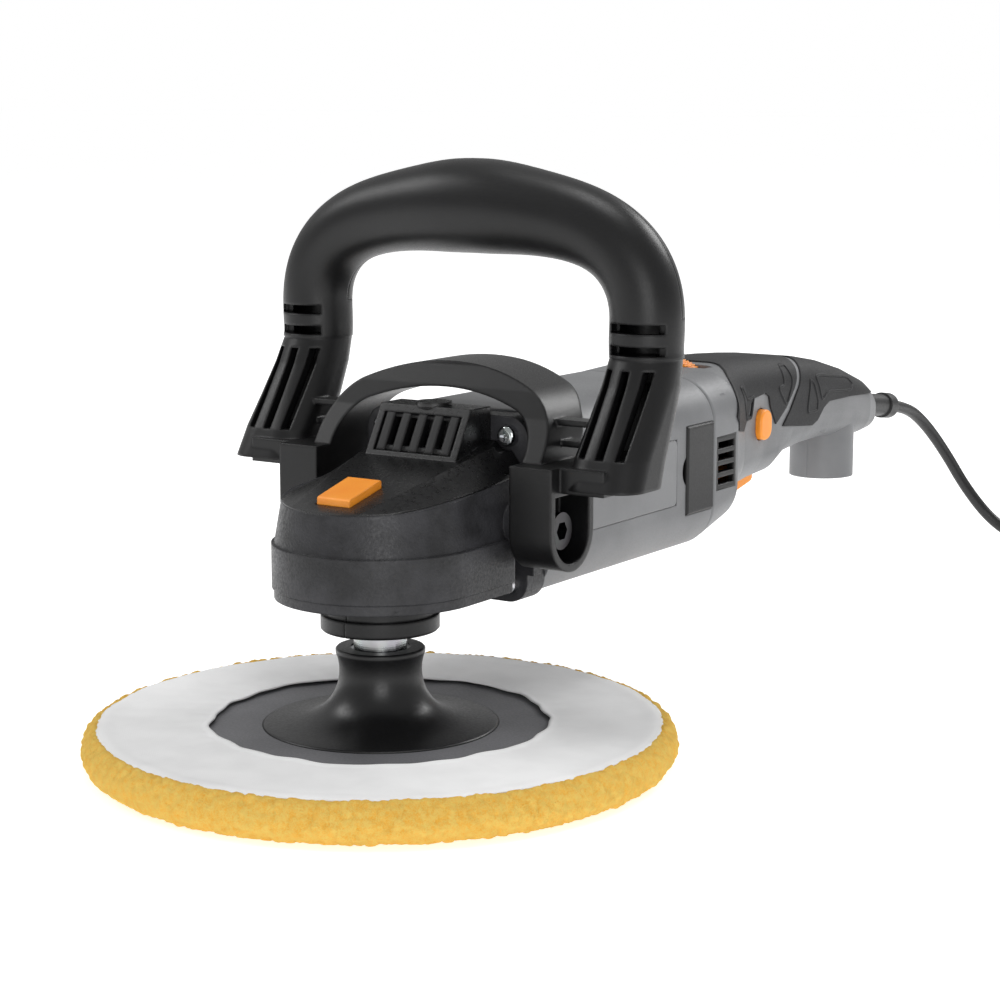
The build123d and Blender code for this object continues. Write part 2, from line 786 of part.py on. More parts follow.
with BuildPart() as armature_shaft:
    turned_on_motor([
        (pinion_hub_start + 1.6, 0),
        (pinion_hub_start + 1.6, shaft_radius - 0.5),
        (pinion_end + 0.5, shaft_radius - 0.5),
        (pinion_end + 0.5, shaft_radius),
        (commutator_end, shaft_radius),
        (commutator_end, 4.0),
        (housing_end - 0.3, 4.0),
        (housing_end - 0.3, 0),
    ])
save(armature_shaft, "armature_shaft")

with BuildPart() as armature_core:
    turned_on_motor([(core_start, shaft_radius), (core_start, armature_radius),
                     (core_end, armature_radius), (core_end, shaft_radius)])
    for index in range(12):
        turn = radians(30 * index + 15)
        start = (armature_radius * 0.86 * sin(turn), core_start - 1,
            motor_z + armature_radius * 0.86 * cos(turn))
        end = (start[0], core_end + 1, start[2])
        rod(start, end, 1.7, Mode.SUBTRACT)
save(armature_core, "armature_core")

with BuildPart() as armature_winding:
    for low, high in ((core_start - 7, core_start), (core_end, core_end + 8)):
        turned_on_motor([(low + 2, shaft_radius), (low, shaft_radius + 4), (low, 12.5), (low + 2, 14.8),
                         (high, 14.8), (high, shaft_radius)])
save(armature_winding, "armature_winding")

with BuildPart() as commutator:
    turned_on_motor([(commutator_start, shaft_radius), (commutator_start, commutator_radius),
                     (commutator_end, commutator_radius), (commutator_end, shaft_radius)])
    for index in range(24):
        turn = radians(15 * index)
        x = commutator_radius * sin(turn)
        z = motor_z + commutator_radius * cos(turn)
        rod((x, commutator_start + 2, z), (x, commutator_end + 1, z), 0.3, Mode.SUBTRACT)
save(commutator, "commutator")

with BuildPart() as fan:
    fan_end = fan_start + fan_length
    turned_on_motor([(fan_start, shaft_radius), (fan_start, 9.0), (fan_end - 2, 12.0),
        (fan_end - 2, fan_radius),
                     (fan_end, fan_radius), (fan_end, shaft_radius)])
    for index in range(14):
        with BuildPart(mode=Mode.PRIVATE) as one_blade:
            block((-0.8, 0.8), (fan_start + 0.6, fan_end - 1), (motor_z + 8.0, motor_z + fan_radius - 0.5))
        turn = 360.0 / 14 * index
        add(one_blade.part.rotate(Axis((0, 0, motor_z), (0, 1, 0)), turn))
save(fan, "fan")

stator_bore = armature_radius + air_gap
coil_outer = 25.5
coil_inner = 20.0
stack_half_width = 30.0
coil_ends = (core_start - 6, core_end + 8)


def sector(radius_in, radius_out, angle_from, angle_to, y, mode=Mode.ADD):
    """Part of a ring about the motor axis, extruded along it."""
    middle = (angle_from + angle_to) / 2

    def at(radius, angle):
        return (radius * cos(radians(angle)), radius * sin(radians(angle)))

    with BuildSketch(across(y[0], motor_z)) as outline:
        with BuildLine():
            ThreePointArc(at(radius_out, angle_from), at(radius_out, middle), at(radius_out, angle_to))
            Line(at(radius_out, angle_to), at(radius_in, angle_to))
            ThreePointArc(at(radius_in, angle_to), at(radius_in, middle), at(radius_in, angle_from))
            Line(at(radius_in, angle_from), at(radius_out, angle_from))
        make_face()
    extrude(outline.sketch, amount=-(y[1] - y[0]), mode=mode)


with BuildPart() as stator_core:
    with BuildSketch(across(core_start - 2, motor_z)) as stack_outline:
        RectangleRounded(2 * stack_half_width, 2 * (motor_half_height - motor_wall) - 0.4, 22.0)
    extrude(stack_outline.sketch, amount=-(core_length + 4))
    turned_on_motor([(core_start - 4, 0), (core_start - 4, stator_bore), (core_end + 4, stator_bore),
                     (core_end + 4, 0)], Mode.SUBTRACT)
    for start_angle in (13, 137, 193, 317):
        sector(coil_inner - 0.4, coil_outer + 0.4, start_angle, start_angle + 30,
               (core_start - 3, core_end + 3), Mode.SUBTRACT)
save(stator_core, "stator_core")

with BuildPart() as field_coils:
    for start_angle in (15, 195):
        sector(coil_inner, coil_outer, start_angle, start_angle + 150, coil_ends)
        sector(coil_inner - 1, coil_outer + 1, start_angle + 26, start_angle + 124,
               (core_start - 2, core_end + 2), Mode.SUBTRACT)
save(field_coils, "field_coils")

with BuildPart() as fan_baffle:
    baffle_y = (fan_start + fan_length + 1.2, fan_start + fan_length + 3.4)
    with BuildSketch(across(baffle_y[0], motor_z)) as baffle_outline:
        RectangleRounded(2 * (motor_half_width - motor_wall) - 0.4,
            2 * (motor_half_height - motor_wall) - 0.4, 13.5)
        Circle(21.0, mode=Mode.SUBTRACT)
        for x in (flange_screw_x, -flange_screw_x):
            for dz in (flange_screw_z, -flange_screw_z):
                with Locations((x, dz)):
                    Circle(5.2, mode=Mode.SUBTRACT)
    extrude(baffle_outline.sketch, amount=-(baffle_y[1] - baffle_y[0]))
save(fan_baffle, "fan_baffle")

brush_half_y = 3.15
brush_half_z = 5.0
wall_inside = motor_half_width - motor_wall
with BuildPart() as brush_holders:
    for side in (1, -1):
        block(sorted((side * 13, side * wall_inside)), (brush_y - 5, brush_y + 5), (motor_z - 6.6,
            motor_z + 6.6))
        block(sorted((side * 12, side * (wall_inside + 1))), (brush_y - brush_half_y - 0.15,
            brush_y + brush_half_y + 0.15),
              (motor_z - brush_half_z - 0.15, motor_z + brush_half_z + 0.15), Mode.SUBTRACT)
save(brush_holders, "brush_holders")

with BuildPart() as carbon_brushes:
    for side in (1, -1):
        block(sorted((side * (commutator_radius + 0.1), side * 23)), (brush_y - brush_half_y,
            brush_y + brush_half_y),
              (motor_z - brush_half_z, motor_z + brush_half_z))
save(carbon_brushes, "carbon_brushes")

with BuildPart() as brush_springs:
    for side in (1, -1):
        add(coil_spring((side * 23.05, brush_y, motor_z), (side, 0, 0), wall_inside - 23.5, 2.3, 0.5, 5))
save(brush_springs, "brush_springs")

with BuildPart() as brush_caps:
    for side in (1, -1):
        rod((side * wall_inside, brush_y, motor_z), (side * (motor_half_width - trim_depth), brush_y,
            motor_z),
            brush_cap_radius)
save(brush_caps, "brush_caps")

# ---- rear handle -----------------------------------------------------------
handle_stations = [
    (housing_end + seam_gap, motor_half_width, motor_top, motor_bottom, motor_corner),
    (188.0, 35.4, 115.4, 54.6, 17.0),
    (198.0, 30.0, 115.9, 58.6, 16.0),
    (214.0, 24.8, 116.0, 62.8, 15.0),
    (235.0, 22.5, 115.3, 64.4, 14.5),
    (252.0, 21.5, 114.2, 65.2, 14.0),
    (266.0, 20.5, 113.0, 70.6, 13.5),
    (290.0, 19.0, 110.2, 72.4, 13.0),
    (312.0, 17.6, 106.6, 72.4, 12.5),
    (335.0, 16.6, 101.2, 71.4, 12.0),
    (355.0, 15.4, 94.8, 69.4, 11.0),
    (367.0, 12.6, 89.4, 70.0, 8.5),
    (373.0, 8.4, 86.0, 75.0, 5.0),
]
handle_cavity = handle_stations[:-1] + [(handle_stations[-1][0] - handle_wall, *handle_stations[-1][1:])]
front_rubber_side = [
    (205.5, 125.0), (205.0, 115.5), (194.0, 110.5), (188.8, 105.5), (186.2, 98.0), (191.0, 92.0), (209.6,
        88.9),
    (216.0, 93.0), (218.5, 98.5), (222.0, 100.6), (235.0, 101.4), (238.8, 99.7), (240.6, 94.9), (246.5,
        87.3),
    (257.3, 93.0), (265.3, 99.7), (273.3, 107.5), (277.0, 112.5), (278.0, 125.0),
]
rear_rubber_side = [
    (284.5, 125.0), (283.0, 111.0), (277.3, 106.6), (270.8, 100.3), (261.7, 91.3), (253.8, 85.6),
    (287.2, 81.8), (292.1, 83.4), (299.0, 88.3), (305.4, 90.4), (330.0, 90.0), (364.0, 88.0),
    (371.5, 92.0), (371.5, 125.0),
]
vent_y = (169.4, 186.0)
vent_z = (71.0, 92.0)
# clamshell screws: y, z and how far the post reaches sideways
handle_posts = [(179.0, 104.0, 33.0), (179.0, 62.0, 31.0), (259.0, 79.0, 19.0), (306.0, 80.0, 15.5),
    (foot_y, 63.0, 12.5)]
post_radius = 4.0
screw_radius = 1.6
trigger_slot_y = (199.0, 253.2)


def rubber_recess(outline, outward, inward, mode):
    """The band of material between two skins of the handle, inside a side outline."""
    with BuildPart(mode=Mode.PRIVATE) as skin:
        barrel(handle_stations, outward)
        barrel(handle_stations, -inward, Mode.SUBTRACT)
        side_prism(outline, (-60, 60), Mode.INTERSECT)
    add(skin.part, mode=mode)


with BuildPart() as handle_body:
    barrel(handle_stations)
    rod((0, foot_y, foot_bottom), (0, foot_y, 80), foot_radius)
    fillet(handle_body.edges().sort_by(Axis.Z)[0], 2.2)
    barrel(handle_cavity, -handle_wall, Mode.SUBTRACT)
    rod((0, foot_y, foot_bottom + handle_wall), (0, foot_y, 80), foot_radius - handle_wall, Mode.SUBTRACT)
    for y, z, reach in handle_posts:
        rod((-reach, y, z), (reach, y, z), post_radius)
    rubber_recess(front_rubber_side, 3.0, rubber_thickness - rubber_proud, Mode.SUBTRACT)
    rubber_recess(rear_rubber_side, 3.0, rubber_thickness - rubber_proud, Mode.SUBTRACT)
    # slot for the speed dial, slot for the trigger
    block((-18.5, 18.5), (dial_y - dial_width / 2 - slot_clearance,
        dial_y + dial_width / 2 + slot_clearance),
          (108, 120), Mode.SUBTRACT)
    block((-trigger_half_width - slot_clearance, trigger_half_width + slot_clearance), trigger_slot_y,
          (50, 70), Mode.SUBTRACT)
    # vent windows in both cheeks
    for x in ((30, 40), (-40, -30)):
        block(x, vent_y, vent_z, Mode.SUBTRACT)
    # gland hole for the strain relief, pivot bore for the trigger
    rod((0, 360, 82.3), relief_end, relief_radius, Mode.SUBTRACT)

with BuildPart() as button_hole:
    with BuildSketch(Plane.YZ.offset(10)):
        with Locations((button_y, button_z)):
            RectangleRounded(button_width + 0.8, button_height + 0.8, 4.9)
    extrude(amount=20)

for side, name in ((1, "left"), (-1, "right")):
    with BuildPart() as handle_shell:
        add(handle_body.part)
        split(bisect_by=Plane.YZ, keep=Keep.TOP if side > 0 else Keep.BOTTOM)
        if side > 0:
            add(button_hole.part, mode=Mode.SUBTRACT)
        for y, z, _ in handle_posts:
            rod((0, y, z), (side * 9.5, y, z), screw_radius, Mode.SUBTRACT)
            if side < 0:
                rod((0, y, z), (-45, y, z), screw_radius, Mode.SUBTRACT)
                rod((-9.4, y, z), (-45, y, z), 3.1, Mode.SUBTRACT)
    save(handle_shell, f"handle_shell_{name}")

with BuildPart() as handle_screws:
    for y, z, _ in handle_posts:
        rod((9.4, y, z), (-9.4, y, z), screw_radius)
        rod((-9.4, y, z), (-11.6, y, z), 3.0)
        with Locations((-11.6, y, z)):
            Box(1.6, 3.2, 0.7, mode=Mode.SUBTRACT)
            Box(1.6, 0.7, 3.2, mode=Mode.SUBTRACT)
save(handle_screws, "handle_screws")

for outline, name in ((front_rubber_side, "grip_rubber_front"), (rear_rubber_side, "grip_rubber_rear")):
    with BuildPart() as grip_rubber:
        rubber_recess(outline, rubber_proud, rubber_thickness - rubber_proud, Mode.ADD)
    save(grip_rubber, name)

with BuildPart() as vent_grilles:
    louvre_pitch = (vent_z[1] - vent_z[0] - 2.4) / 4
    for side in (1, -1):
        outer = side * 35.6
        block(sorted((outer, side * 32.8)), (vent_y[0] + 0.1, vent_y[1] - 0.1), (vent_z[0] + 0.1,
            vent_z[1] - 0.1))
        for index in range(4):
            z = vent_z[0] + 1.2 + louvre_pitch * (index + 0.5)
            block(sorted((outer + side, side * 32)), (vent_y[0] + 1.8, vent_y[1] - 1.8),
                  (z - louvre_pitch * 0.3, z + louvre_pitch * 0.3), Mode.SUBTRACT)
save(vent_grilles, "vent_grilles")

# ---- controls --------------------------------------------------------------
switch_x = 9.5
switch_y = (212.0, 246.0)
switch_z = (77.0, 97.0)
with BuildPart() as switch_body:
    block((-switch_x, switch_x), switch_y, switch_z)
    block((-5, 5), (switch_y[0] + 4, switch_y[1] - 4), (switch_z[1], switch_z[1] + 2.5))
    fillet(switch_body.edges().filter_by(Axis.X), 0.8)
save(switch_body, "switch_body")

with BuildPart() as trigger:
    side_prism([
        (pivot_y - 4, pivot_z - 3), (pivot_y - 2, 60.0), (pivot_y + 7, 57.6), (228.0, 57.4), (240.0, 59.6),
        (251.0, 61.8), (252.2, 63.0), (252.2, 69.0), (pivot_y + 3, 73.0), (pivot_y - 2,
            73.0), (pivot_y - 4, 71.0),
    ], (-trigger_half_width, trigger_half_width))
    side_prism([
        (pivot_y + 6, 60.4), (228.0, 60.4), (248.5, 64.8), (248.5, 74.0), (pivot_y + 6, 76.0),
    ], (-trigger_half_width + 2, trigger_half_width - 2), Mode.SUBTRACT)
    rod((-20, pivot_y, pivot_z), (20, pivot_y, pivot_z), 1.6 + running_clearance, Mode.SUBTRACT)
save(trigger, "trigger")

with BuildPart() as trigger_pin:
    rod((-12.5, pivot_y, pivot_z), (12.5, pivot_y, pivot_z), 1.6)
save(trigger_pin, "trigger_pin")

with BuildPart() as trigger_spring:
    add(coil_spring((0, 238, 62.9), (0, 0, 1), switch_z[0] - 62.9, 2.6, 0.6, 6))
save(trigger_spring, "trigger_spring")

button_collar_x = 17.0
with BuildPart() as lock_on_button:
    with BuildSketch(Plane.YZ.offset(button_collar_x)):
        with Locations((button_y, button_z)):
            RectangleRounded(button_width, button_height, 4.6)
    extrude(amount=button_face - button_collar_x)
    fillet(lock_on_button.edges().group_by(Axis.X)[-1], 1.0)
    rod((button_collar_x + 0.1, button_y, button_z), (switch_x + button_travel + 0.2, button_y, button_z),
        2.0)
    block((button_collar_x, button_collar_x + 1.4), (button_y - 6.6, button_y + 6.6),
          (button_z - 3.0, button_z + 3.0))
save(lock_on_button, "lock_on_button")

with BuildPart() as lock_on_spring:
    add(coil_spring((switch_x + 0.05, button_y, button_z), (1, 0, 0), button_collar_x - switch_x - 0.1,
        3.0, 0.5, 3))
save(lock_on_spring, "lock_on_spring")

with BuildPart() as speed_dial:
    low = dial_y - dial_width / 2
    high = dial_y + dial_width / 2
    with BuildSketch(across(low, dial_z)) as wheel:
        Circle(dial_radius)
        with PolarLocations(dial_radius, 90):
            Circle(0.45, mode=Mode.SUBTRACT)
        Circle(3.05, mode=Mode.SUBTRACT)
    extrude(wheel.sketch, amount=-dial_width)
save(speed_dial, "speed_dial")

with BuildPart() as speed_controller:
    board_y = dial_y - dial_width / 2 - 3.4
    block((-22, 22), (board_y - 1.6, board_y), (dial_z - 26, dial_z + 12))
    block((-16, -4), (board_y - 11, board_y - 1.6), (dial_z - 24, dial_z - 8))
    block((4, 16), (board_y - 9, board_y - 1.6), (dial_z - 22, dial_z - 6))
    rod((0, board_y, dial_z), (0, board_y + 3.0, dial_z), 6.0)
    rod((0, board_y, dial_z), (0, dial_y + dial_width / 2 + 0.6, dial_z), 3.0)
save(speed_controller, "speed_controller")

def along_relief(share):
    """Point on the strain relief's axis, 0 at the handle and 1 at its tip."""
    return tuple(a + (b - a) * share for a, b in zip(relief_start, relief_end))


with BuildPart() as cord_clamp:
    block((-7.5, 7.5), (356.0, 359.5), (84.0, 88.4))
    rod(along_relief(-0.6), along_relief(0.2), relief_radius, Mode.SUBTRACT)
save(cord_clamp, "cord_clamp")

# ---- loop handle -----------------------------------------------------------
leg_top = 135.0               # height where the round grip turns into the leg
leg_step = 0.4                # the leg starts this much inside the grip
half_loop = [
    # (x, z, tube radius, heading from +X in degrees)
    (0.0, loop_top, bar_radius, 0.0),
    (18.0, loop_top - 0.9, bar_radius - 0.9, -5.0),
    (36.0, loop_top - 3.4, bar_radius - 2.4, -11.0),
    (50.0, loop_top - 7.6, 13.1, -25.0),
    (60.5, loop_top - 14.6, leg_radius + 0.1, -46.0),
    (66.8, loop_top - 24.0, leg_radius, -68.0),
    (leg_x, loop_top - 35.5, leg_radius, -90.0),
    (leg_x, leg_top, leg_radius, -90.0),
]
leg_stations = [
    # (height, centre y, width, depth, corner radius)
    (137.0, loop_y, 2 * (leg_radius - leg_step), 2 * (leg_radius - leg_step), leg_radius - leg_step - 0.1),
    (leg_top, loop_y, 2 * (leg_radius - leg_step), 2 * (leg_radius - leg_step),
        leg_radius - leg_step - 0.1),
    (126.0, 53.4, 25.6, 26.0, 12.0),
    (115.0, 47.0, 26.4, 27.0, 11.0),
    (104.0, 40.0, 27.2, 27.6, 10.0),
    (94.0, 35.0, 28.0, 27.0, 9.0),
]


def loop_tube(shrink, mode=Mode.ADD):
    """Round grip bar from one leg over to the other."""
    whole = [(-x, z, r, -a) for x, z, r, a in half_loop[:0:-1]] + half_loop
    sections = []
    for x, z, radius, heading in whole:
        tangent = (cos(radians(heading)), 0, sin(radians(heading)))
        with BuildSketch(Plane(origin=(x, loop_y, z), x_dir=(0, 1, 0), z_dir=tangent)) as section:
            Circle(radius - shrink)
        sections.append(section.sketch)
    loft(sections, mode=mode)


def lower_leg(side, shrink, top, mode=Mode.ADD):
    """Leg that leans forward from the grip down to the web."""
    sections = []
    for z, y, width, depth, corner in leg_stations[:top]:
        plane = Plane(origin=(side * (leg_x + (width - 2 * leg_radius) * 0.2), y, z), x_dir=(1, 0, 0),
            z_dir=(0, 0, -1))
        with BuildSketch(plane) as section:
            RectangleRounded(width - 2 * shrink, depth - 2 * shrink, corner - shrink)
        sections.append(section.sketch)
    loft(sections, ruled=True, mode=mode)


arch_side = [
    (17.7, 78.5), (17.7, 95.5), (25.3, 100.5), (30.5, 108.5), (34.4, 114.6), (38.7, 123.0), (43.0,
        130.0), (43.4, 133.0),
    (69.0, 133.0), (68.0, 130.0), (63.0, 123.0), (57.0, 116.0), (51.5, 105.0), (48.0, 98.0), (44.3,
        92.0), (44.3, 78.5),
]
web_z = (92.6, 101.0)
screws_at = [(leg_x - 0.6, 157.0), (-leg_x + 0.6, 157.0), (26.0, loop_top - 1.8), (-26.0, loop_top - 1.8)]


def arch_band(mode=Mode.ADD):
    """Band that bridges the gear head, drawn from the front."""
    outer = ear_inner + 7.0
    with BuildSketch(Plane.XZ.offset(-80)) as band:
        with BuildLine():
            Line((outer, 78.5), (outer, 103))
            ThreePointArc((outer, 103), (outer - 3.6, 116.2), (outer - 12.5, 123.8))
            ThreePointArc((outer - 12.5, 123.8), (0, arch_top), (12.5 - outer, 123.8))
            ThreePointArc((12.5 - outer, 123.8), (3.6 - outer, 116.2), (-outer, 103))
            Polyline((-outer, 103), (-outer, 78.5), (-ear_inner, 78.5), (-ear_inner, 102))
            ThreePointArc((-ear_inner, 102), (2.8 - ear_inner, 111.8), (9.5 - ear_inner, 117.0))
            ThreePointArc((9.5 - ear_inner, 117.0), (0, arch_top - arch_thickness), (ear_inner - 9.5,
                117.0))
            ThreePointArc((ear_inner - 9.5, 117.0), (ear_inner - 2.8, 111.8), (ear_inner, 102))
            Polyline((ear_inner, 102), (ear_inner, 78.5), (outer, 78.5))
        make_face()
    extrude(band.sketch, amount=80, mode=mode)


with BuildPart() as loop_core:
    # grip tube with hollow inside
    loop_tube(0)
    for side in (1, -1):
        lower_leg(side, 0, 6)
with BuildPart() as loop_hollow:
    loop_tube(loop_wall)
    for side in (1, -1):
        lower_leg(side, loop_wall + leg_step, 5)

with BuildPart() as screw_posts:
    for x, z in screws_at:
        rod((x, loop_y - 11.5, z), (x, loop_y + 11.5, z), 3.6)

with BuildPart() as back_region:
    block((-95, 95), (split_y + 0.1, 90), (split_z + 0.1, 220))

with BuildPart() as loop_frame:
    arch_band()
    side_prism(arch_side, (-80, 80), Mode.INTERSECT)
    for side in (1, -1):
        # ear: U-shaped lobe round the bolt, open to the outside
        lobe = sorted((side * ear_inner, side * ear_outer))
        rod((lobe[0], tilt_y, tilt_z), (lobe[1], tilt_y, tilt_z), lobe_radius)
        block(lobe, (tilt_y - lobe_radius, tilt_y + lobe_radius), (tilt_z, web_z[1]))
        # web out to the leg, two ribs above it
        block(sorted((side * ear_inner, side * (leg_x + 4))), (23.0, 46.5), web_z)
        for z in (106.5, 113.5):
            block(sorted((side * 43.0, side * 58.0)), (38.5, 46.0), (z - 1.0, z + 1.0))
    add(loop_core.part)
    add(loop_hollow.part, mode=Mode.SUBTRACT)
    for side in (1, -1):
        pocket = sorted((side * (ear_inner + ear_web), side * (ear_outer + 1)))
        rod((pocket[0], tilt_y, tilt_z), (pocket[1], tilt_y, tilt_z), lobe_radius - 2.6, Mode.SUBTRACT)
        block(pocket, (tilt_y - lobe_radius + 2.6, tilt_y + lobe_radius - 2.6), (tilt_z, web_z[0] - 1.2),
            Mode.SUBTRACT)
        rod((side * 30, tilt_y, tilt_z), (side * 50, tilt_y, tilt_z), bolt_radius + running_clearance,
            Mode.SUBTRACT)
        # slots that show on the legs
        for z in (145.2, 137.8):
            block(sorted((side * 60.5, side * 79.6)), (40, 52), (z - 1.6, z + 1.6), Mode.SUBTRACT)
        for offset in (-7.3, 0.0, 7.3):
            side_prism([(20, 104), (46, 104), (60, 126), (60, 131.5), (30, 131.5)],
                       sorted((side * (leg_x + offset) - 1.6,
                           side * (leg_x + offset) + 1.6)), Mode.SUBTRACT)
    add(screw_posts.part)
    add(back_region.part, mode=Mode.SUBTRACT)
    for x, z in screws_at:
        rod((x, loop_y - 8, z), (x, loop_y + 20, z), screw_radius, Mode.SUBTRACT)
save(loop_frame, "loop_frame")

with BuildPart() as loop_back_shell:
    loop_tube(0)
    loop_tube(loop_wall, Mode.SUBTRACT)
    add(screw_posts.part)
    block((-95, 95), (split_y + 0.2, 90), (split_z + 0.3, 220), Mode.INTERSECT)
    for x, z in screws_at:
        rod((x, loop_y, z), (x, loop_y + 30, z), screw_radius, Mode.SUBTRACT)
        rod((x, loop_y + 8.0, z), (x, loop_y + 30, z), 3.1, Mode.SUBTRACT)
save(loop_back_shell, "loop_back_shell")

with BuildPart() as loop_screws:
    for x, z in screws_at:
        rod((x, loop_y - 7.5, z), (x, loop_y + 8.0, z), screw_radius)
        rod((x, loop_y + 8.0, z), (x, loop_y + 10.0, z), 3.0)
        with Locations((x, loop_y + 10.0, z)):
            Box(3.2, 1.6, 0.7, mode=Mode.SUBTRACT)
            Box(0.7, 1.6, 3.2, mode=Mode.SUBTRACT)
save(loop_screws, "loop_screws")

washer_x = ear_inner + ear_web + 0.15
with BuildPart() as pivot_washers:
    for side in (1, -1):
        rod((side * washer_x, tilt_y, tilt_z), (side * (washer_x + 1.4), tilt_y, tilt_z), 8.4)
        rod((side * (washer_x - 1), tilt_y, tilt_z), (side * (washer_x + 3), tilt_y, tilt_z),
            bolt_radius + 0.05, Mode.SUBTRACT)
save(pivot_washers, "pivot_washers")

with BuildPart() as pivot_bolts:
    for side in (1, -1):
        head_x = washer_x + 1.4
        rod((side * 28, tilt_y, tilt_z), (side * head_x, tilt_y, tilt_z), bolt_radius)
        rod((side * head_x, tilt_y, tilt_z), (side * (head_x + 6.2), tilt_y, tilt_z), 6.3)
        with BuildSketch(Plane.YZ.offset(side * (head_x + 6.2))) as socket:
            with Locations((tilt_y, tilt_z)):
                RegularPolygon(3.3, 6)
        extrude(socket.sketch, amount=-side * 3.4, mode=Mode.SUBTRACT)
save(pivot_bolts, "pivot_bolts")

# ---- cord ------------------------------------------------------------------
with BuildPart() as strain_relief:
    rod(along_relief(-0.5), along_relief(0.78), relief_radius)
    rod(along_relief(0.76), along_relief(1.0), 6.0)
    rod(along_relief(-0.34), along_relief(-0.26), 5.7)
    fillet(strain_relief.faces().sort_by(Axis.Y)[-1].edges(), 1.6)
save(strain_relief, "strain_relief")

cord_points = [
    relief_end,
    (0.0, 430.0, 73.1),
    (2.0, 449.0, 63.0),
    (7.0, 464.0, 47.0),
    (14.0, 475.0, 28.0),
    (26.0, 482.0, 11.0),
    (44.0, 481.0, 2.8),
    (62.0, 470.0, 2.8),
    (81.0, 464.0, 2.8),
]


def corner_radii(points):
    """Largest arc that each corner's two runs leave room for."""
    radii = []
    for before, here, after in zip(points, points[1:], points[2:]):
        a = Vector(*here) - Vector(*before)
        b = Vector(*after) - Vector(*here)
        turn = a.get_angle(b)
        radii.append(0.45 * min(a.length, b.length) / tan(radians(turn) / 2))
    return radii


cord_radii = corner_radii(cord_points)
print("cord arc radii", [round(r, 1) for r in cord_radii])

plug_tail_y = 396.0
plug_x = coil_x + coil_mean
plug_centre_z = 13.2
lead_points = [(plug_x, 412, 8.4), (plug_x, 406, 9.6), (plug_x, plug_tail_y + 0.5, 12.8)]


def tube(points, radii):
    """Round tube along straight runs joined by arcs; returns its length."""
    with BuildLine() as route:
        FilletPolyline(*points, radius=radii)
    with BuildSketch(Plane(origin=route.line @ 0, z_dir=route.line % 0)) as section:
        Circle(cord_radius)
    sweep(section.sketch, path=route.line)
    return route.wire().length


with BuildPart() as cord:
    cord_length = tube(cord_points, cord_radii)
    print("cord tube", round(cord_length, 1), "volume ratio",
          round(cord.part.volume / (pi * cord_radius**2 * cord_length), 4))
    tube(lead_points, 12)
save(cord, "cord")

with BuildPart() as cord_coil:
    with BuildSketch(Plane.XZ.offset(-coil_y)) as coil_section:
        with Locations((coil_x + coil_mean, coil_height / 2)):
            RectangleRounded(coil_width, coil_height, 5.0)
    revolve(coil_section.sketch, axis=Axis((coil_x, coil_y, 0), (0, 0, 1)))
save(cord_coil, "cord_coil")

plug_length = 44.0
plug_face_y = plug_tail_y - plug_length
with BuildPart() as plug_body:
    plug_stations = [
        (plug_tail_y, 5.0, 4.6, 4.0),
        (plug_tail_y - 14, 7.5, 7.0, 5.5),
        (plug_tail_y - 24, 17.5, 12.6, 9.0),
        (plug_face_y + 6, 18.2, 13.0, 10.0),
        (plug_face_y, 17.6, 12.6, 10.0),
    ]
    plug_sections = []
    for y, half_width, half_height, corner in plug_stations:
        with BuildSketch(Plane(origin=(plug_x, y, plug_centre_z), x_dir=(1, 0, 0),
            z_dir=(0, -1, 0))) as plug_section:
            RectangleRounded(2 * half_width, 2 * half_height, corner)
        plug_sections.append(plug_section.sketch)
    loft(plug_sections, ruled=True)
save(plug_body, "plug_body")

with BuildPart() as plug_pins:
    for dx in (9.5, -9.5):
        rod((plug_x + dx, plug_face_y, plug_centre_z), (plug_x + dx, plug_face_y - 19.0, plug_centre_z),
            2.4)
    fillet(plug_pins.edges().group_by(Axis.Y)[0], 1.0)
save(plug_pins, "plug_pins")
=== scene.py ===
import json
import math

import bmesh
import bpy
import numpy as np
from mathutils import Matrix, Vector


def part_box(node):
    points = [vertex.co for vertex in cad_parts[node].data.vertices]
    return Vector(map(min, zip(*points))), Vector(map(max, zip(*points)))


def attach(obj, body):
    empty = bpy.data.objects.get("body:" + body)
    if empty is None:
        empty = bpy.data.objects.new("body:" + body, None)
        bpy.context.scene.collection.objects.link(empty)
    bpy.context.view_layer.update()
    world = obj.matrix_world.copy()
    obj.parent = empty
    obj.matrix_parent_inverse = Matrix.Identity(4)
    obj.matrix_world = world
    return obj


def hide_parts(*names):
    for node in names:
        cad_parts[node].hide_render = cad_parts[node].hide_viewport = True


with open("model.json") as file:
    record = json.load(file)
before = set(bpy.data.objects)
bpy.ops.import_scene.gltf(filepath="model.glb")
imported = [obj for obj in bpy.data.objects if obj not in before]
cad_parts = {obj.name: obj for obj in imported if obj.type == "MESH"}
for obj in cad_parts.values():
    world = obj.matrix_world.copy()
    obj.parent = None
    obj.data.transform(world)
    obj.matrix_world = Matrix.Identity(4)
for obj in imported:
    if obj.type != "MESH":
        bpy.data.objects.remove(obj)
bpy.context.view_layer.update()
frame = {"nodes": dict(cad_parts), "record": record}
cadNodes = frame["nodes"]
mm = 0.001
white = (1.0, 1.0, 1.0, 1.0)
waveBand = 0.314  # distance between the bands of a wave texture at scale 1
print("frame loaded:", len(cadNodes), "nodes")


def linearColour(hexText):
    # sRGB hex to the linear values that the shader wants
    channels = np.array([int(hexText[i:i + 2], 16) / 255 for i in (1, 3, 5)])
    linear = np.where(channels <= 0.04045, channels / 12.92, ((channels + 0.055) / 1.055) ** 2.4)
    return (*[float(v) for v in linear], 1.0)


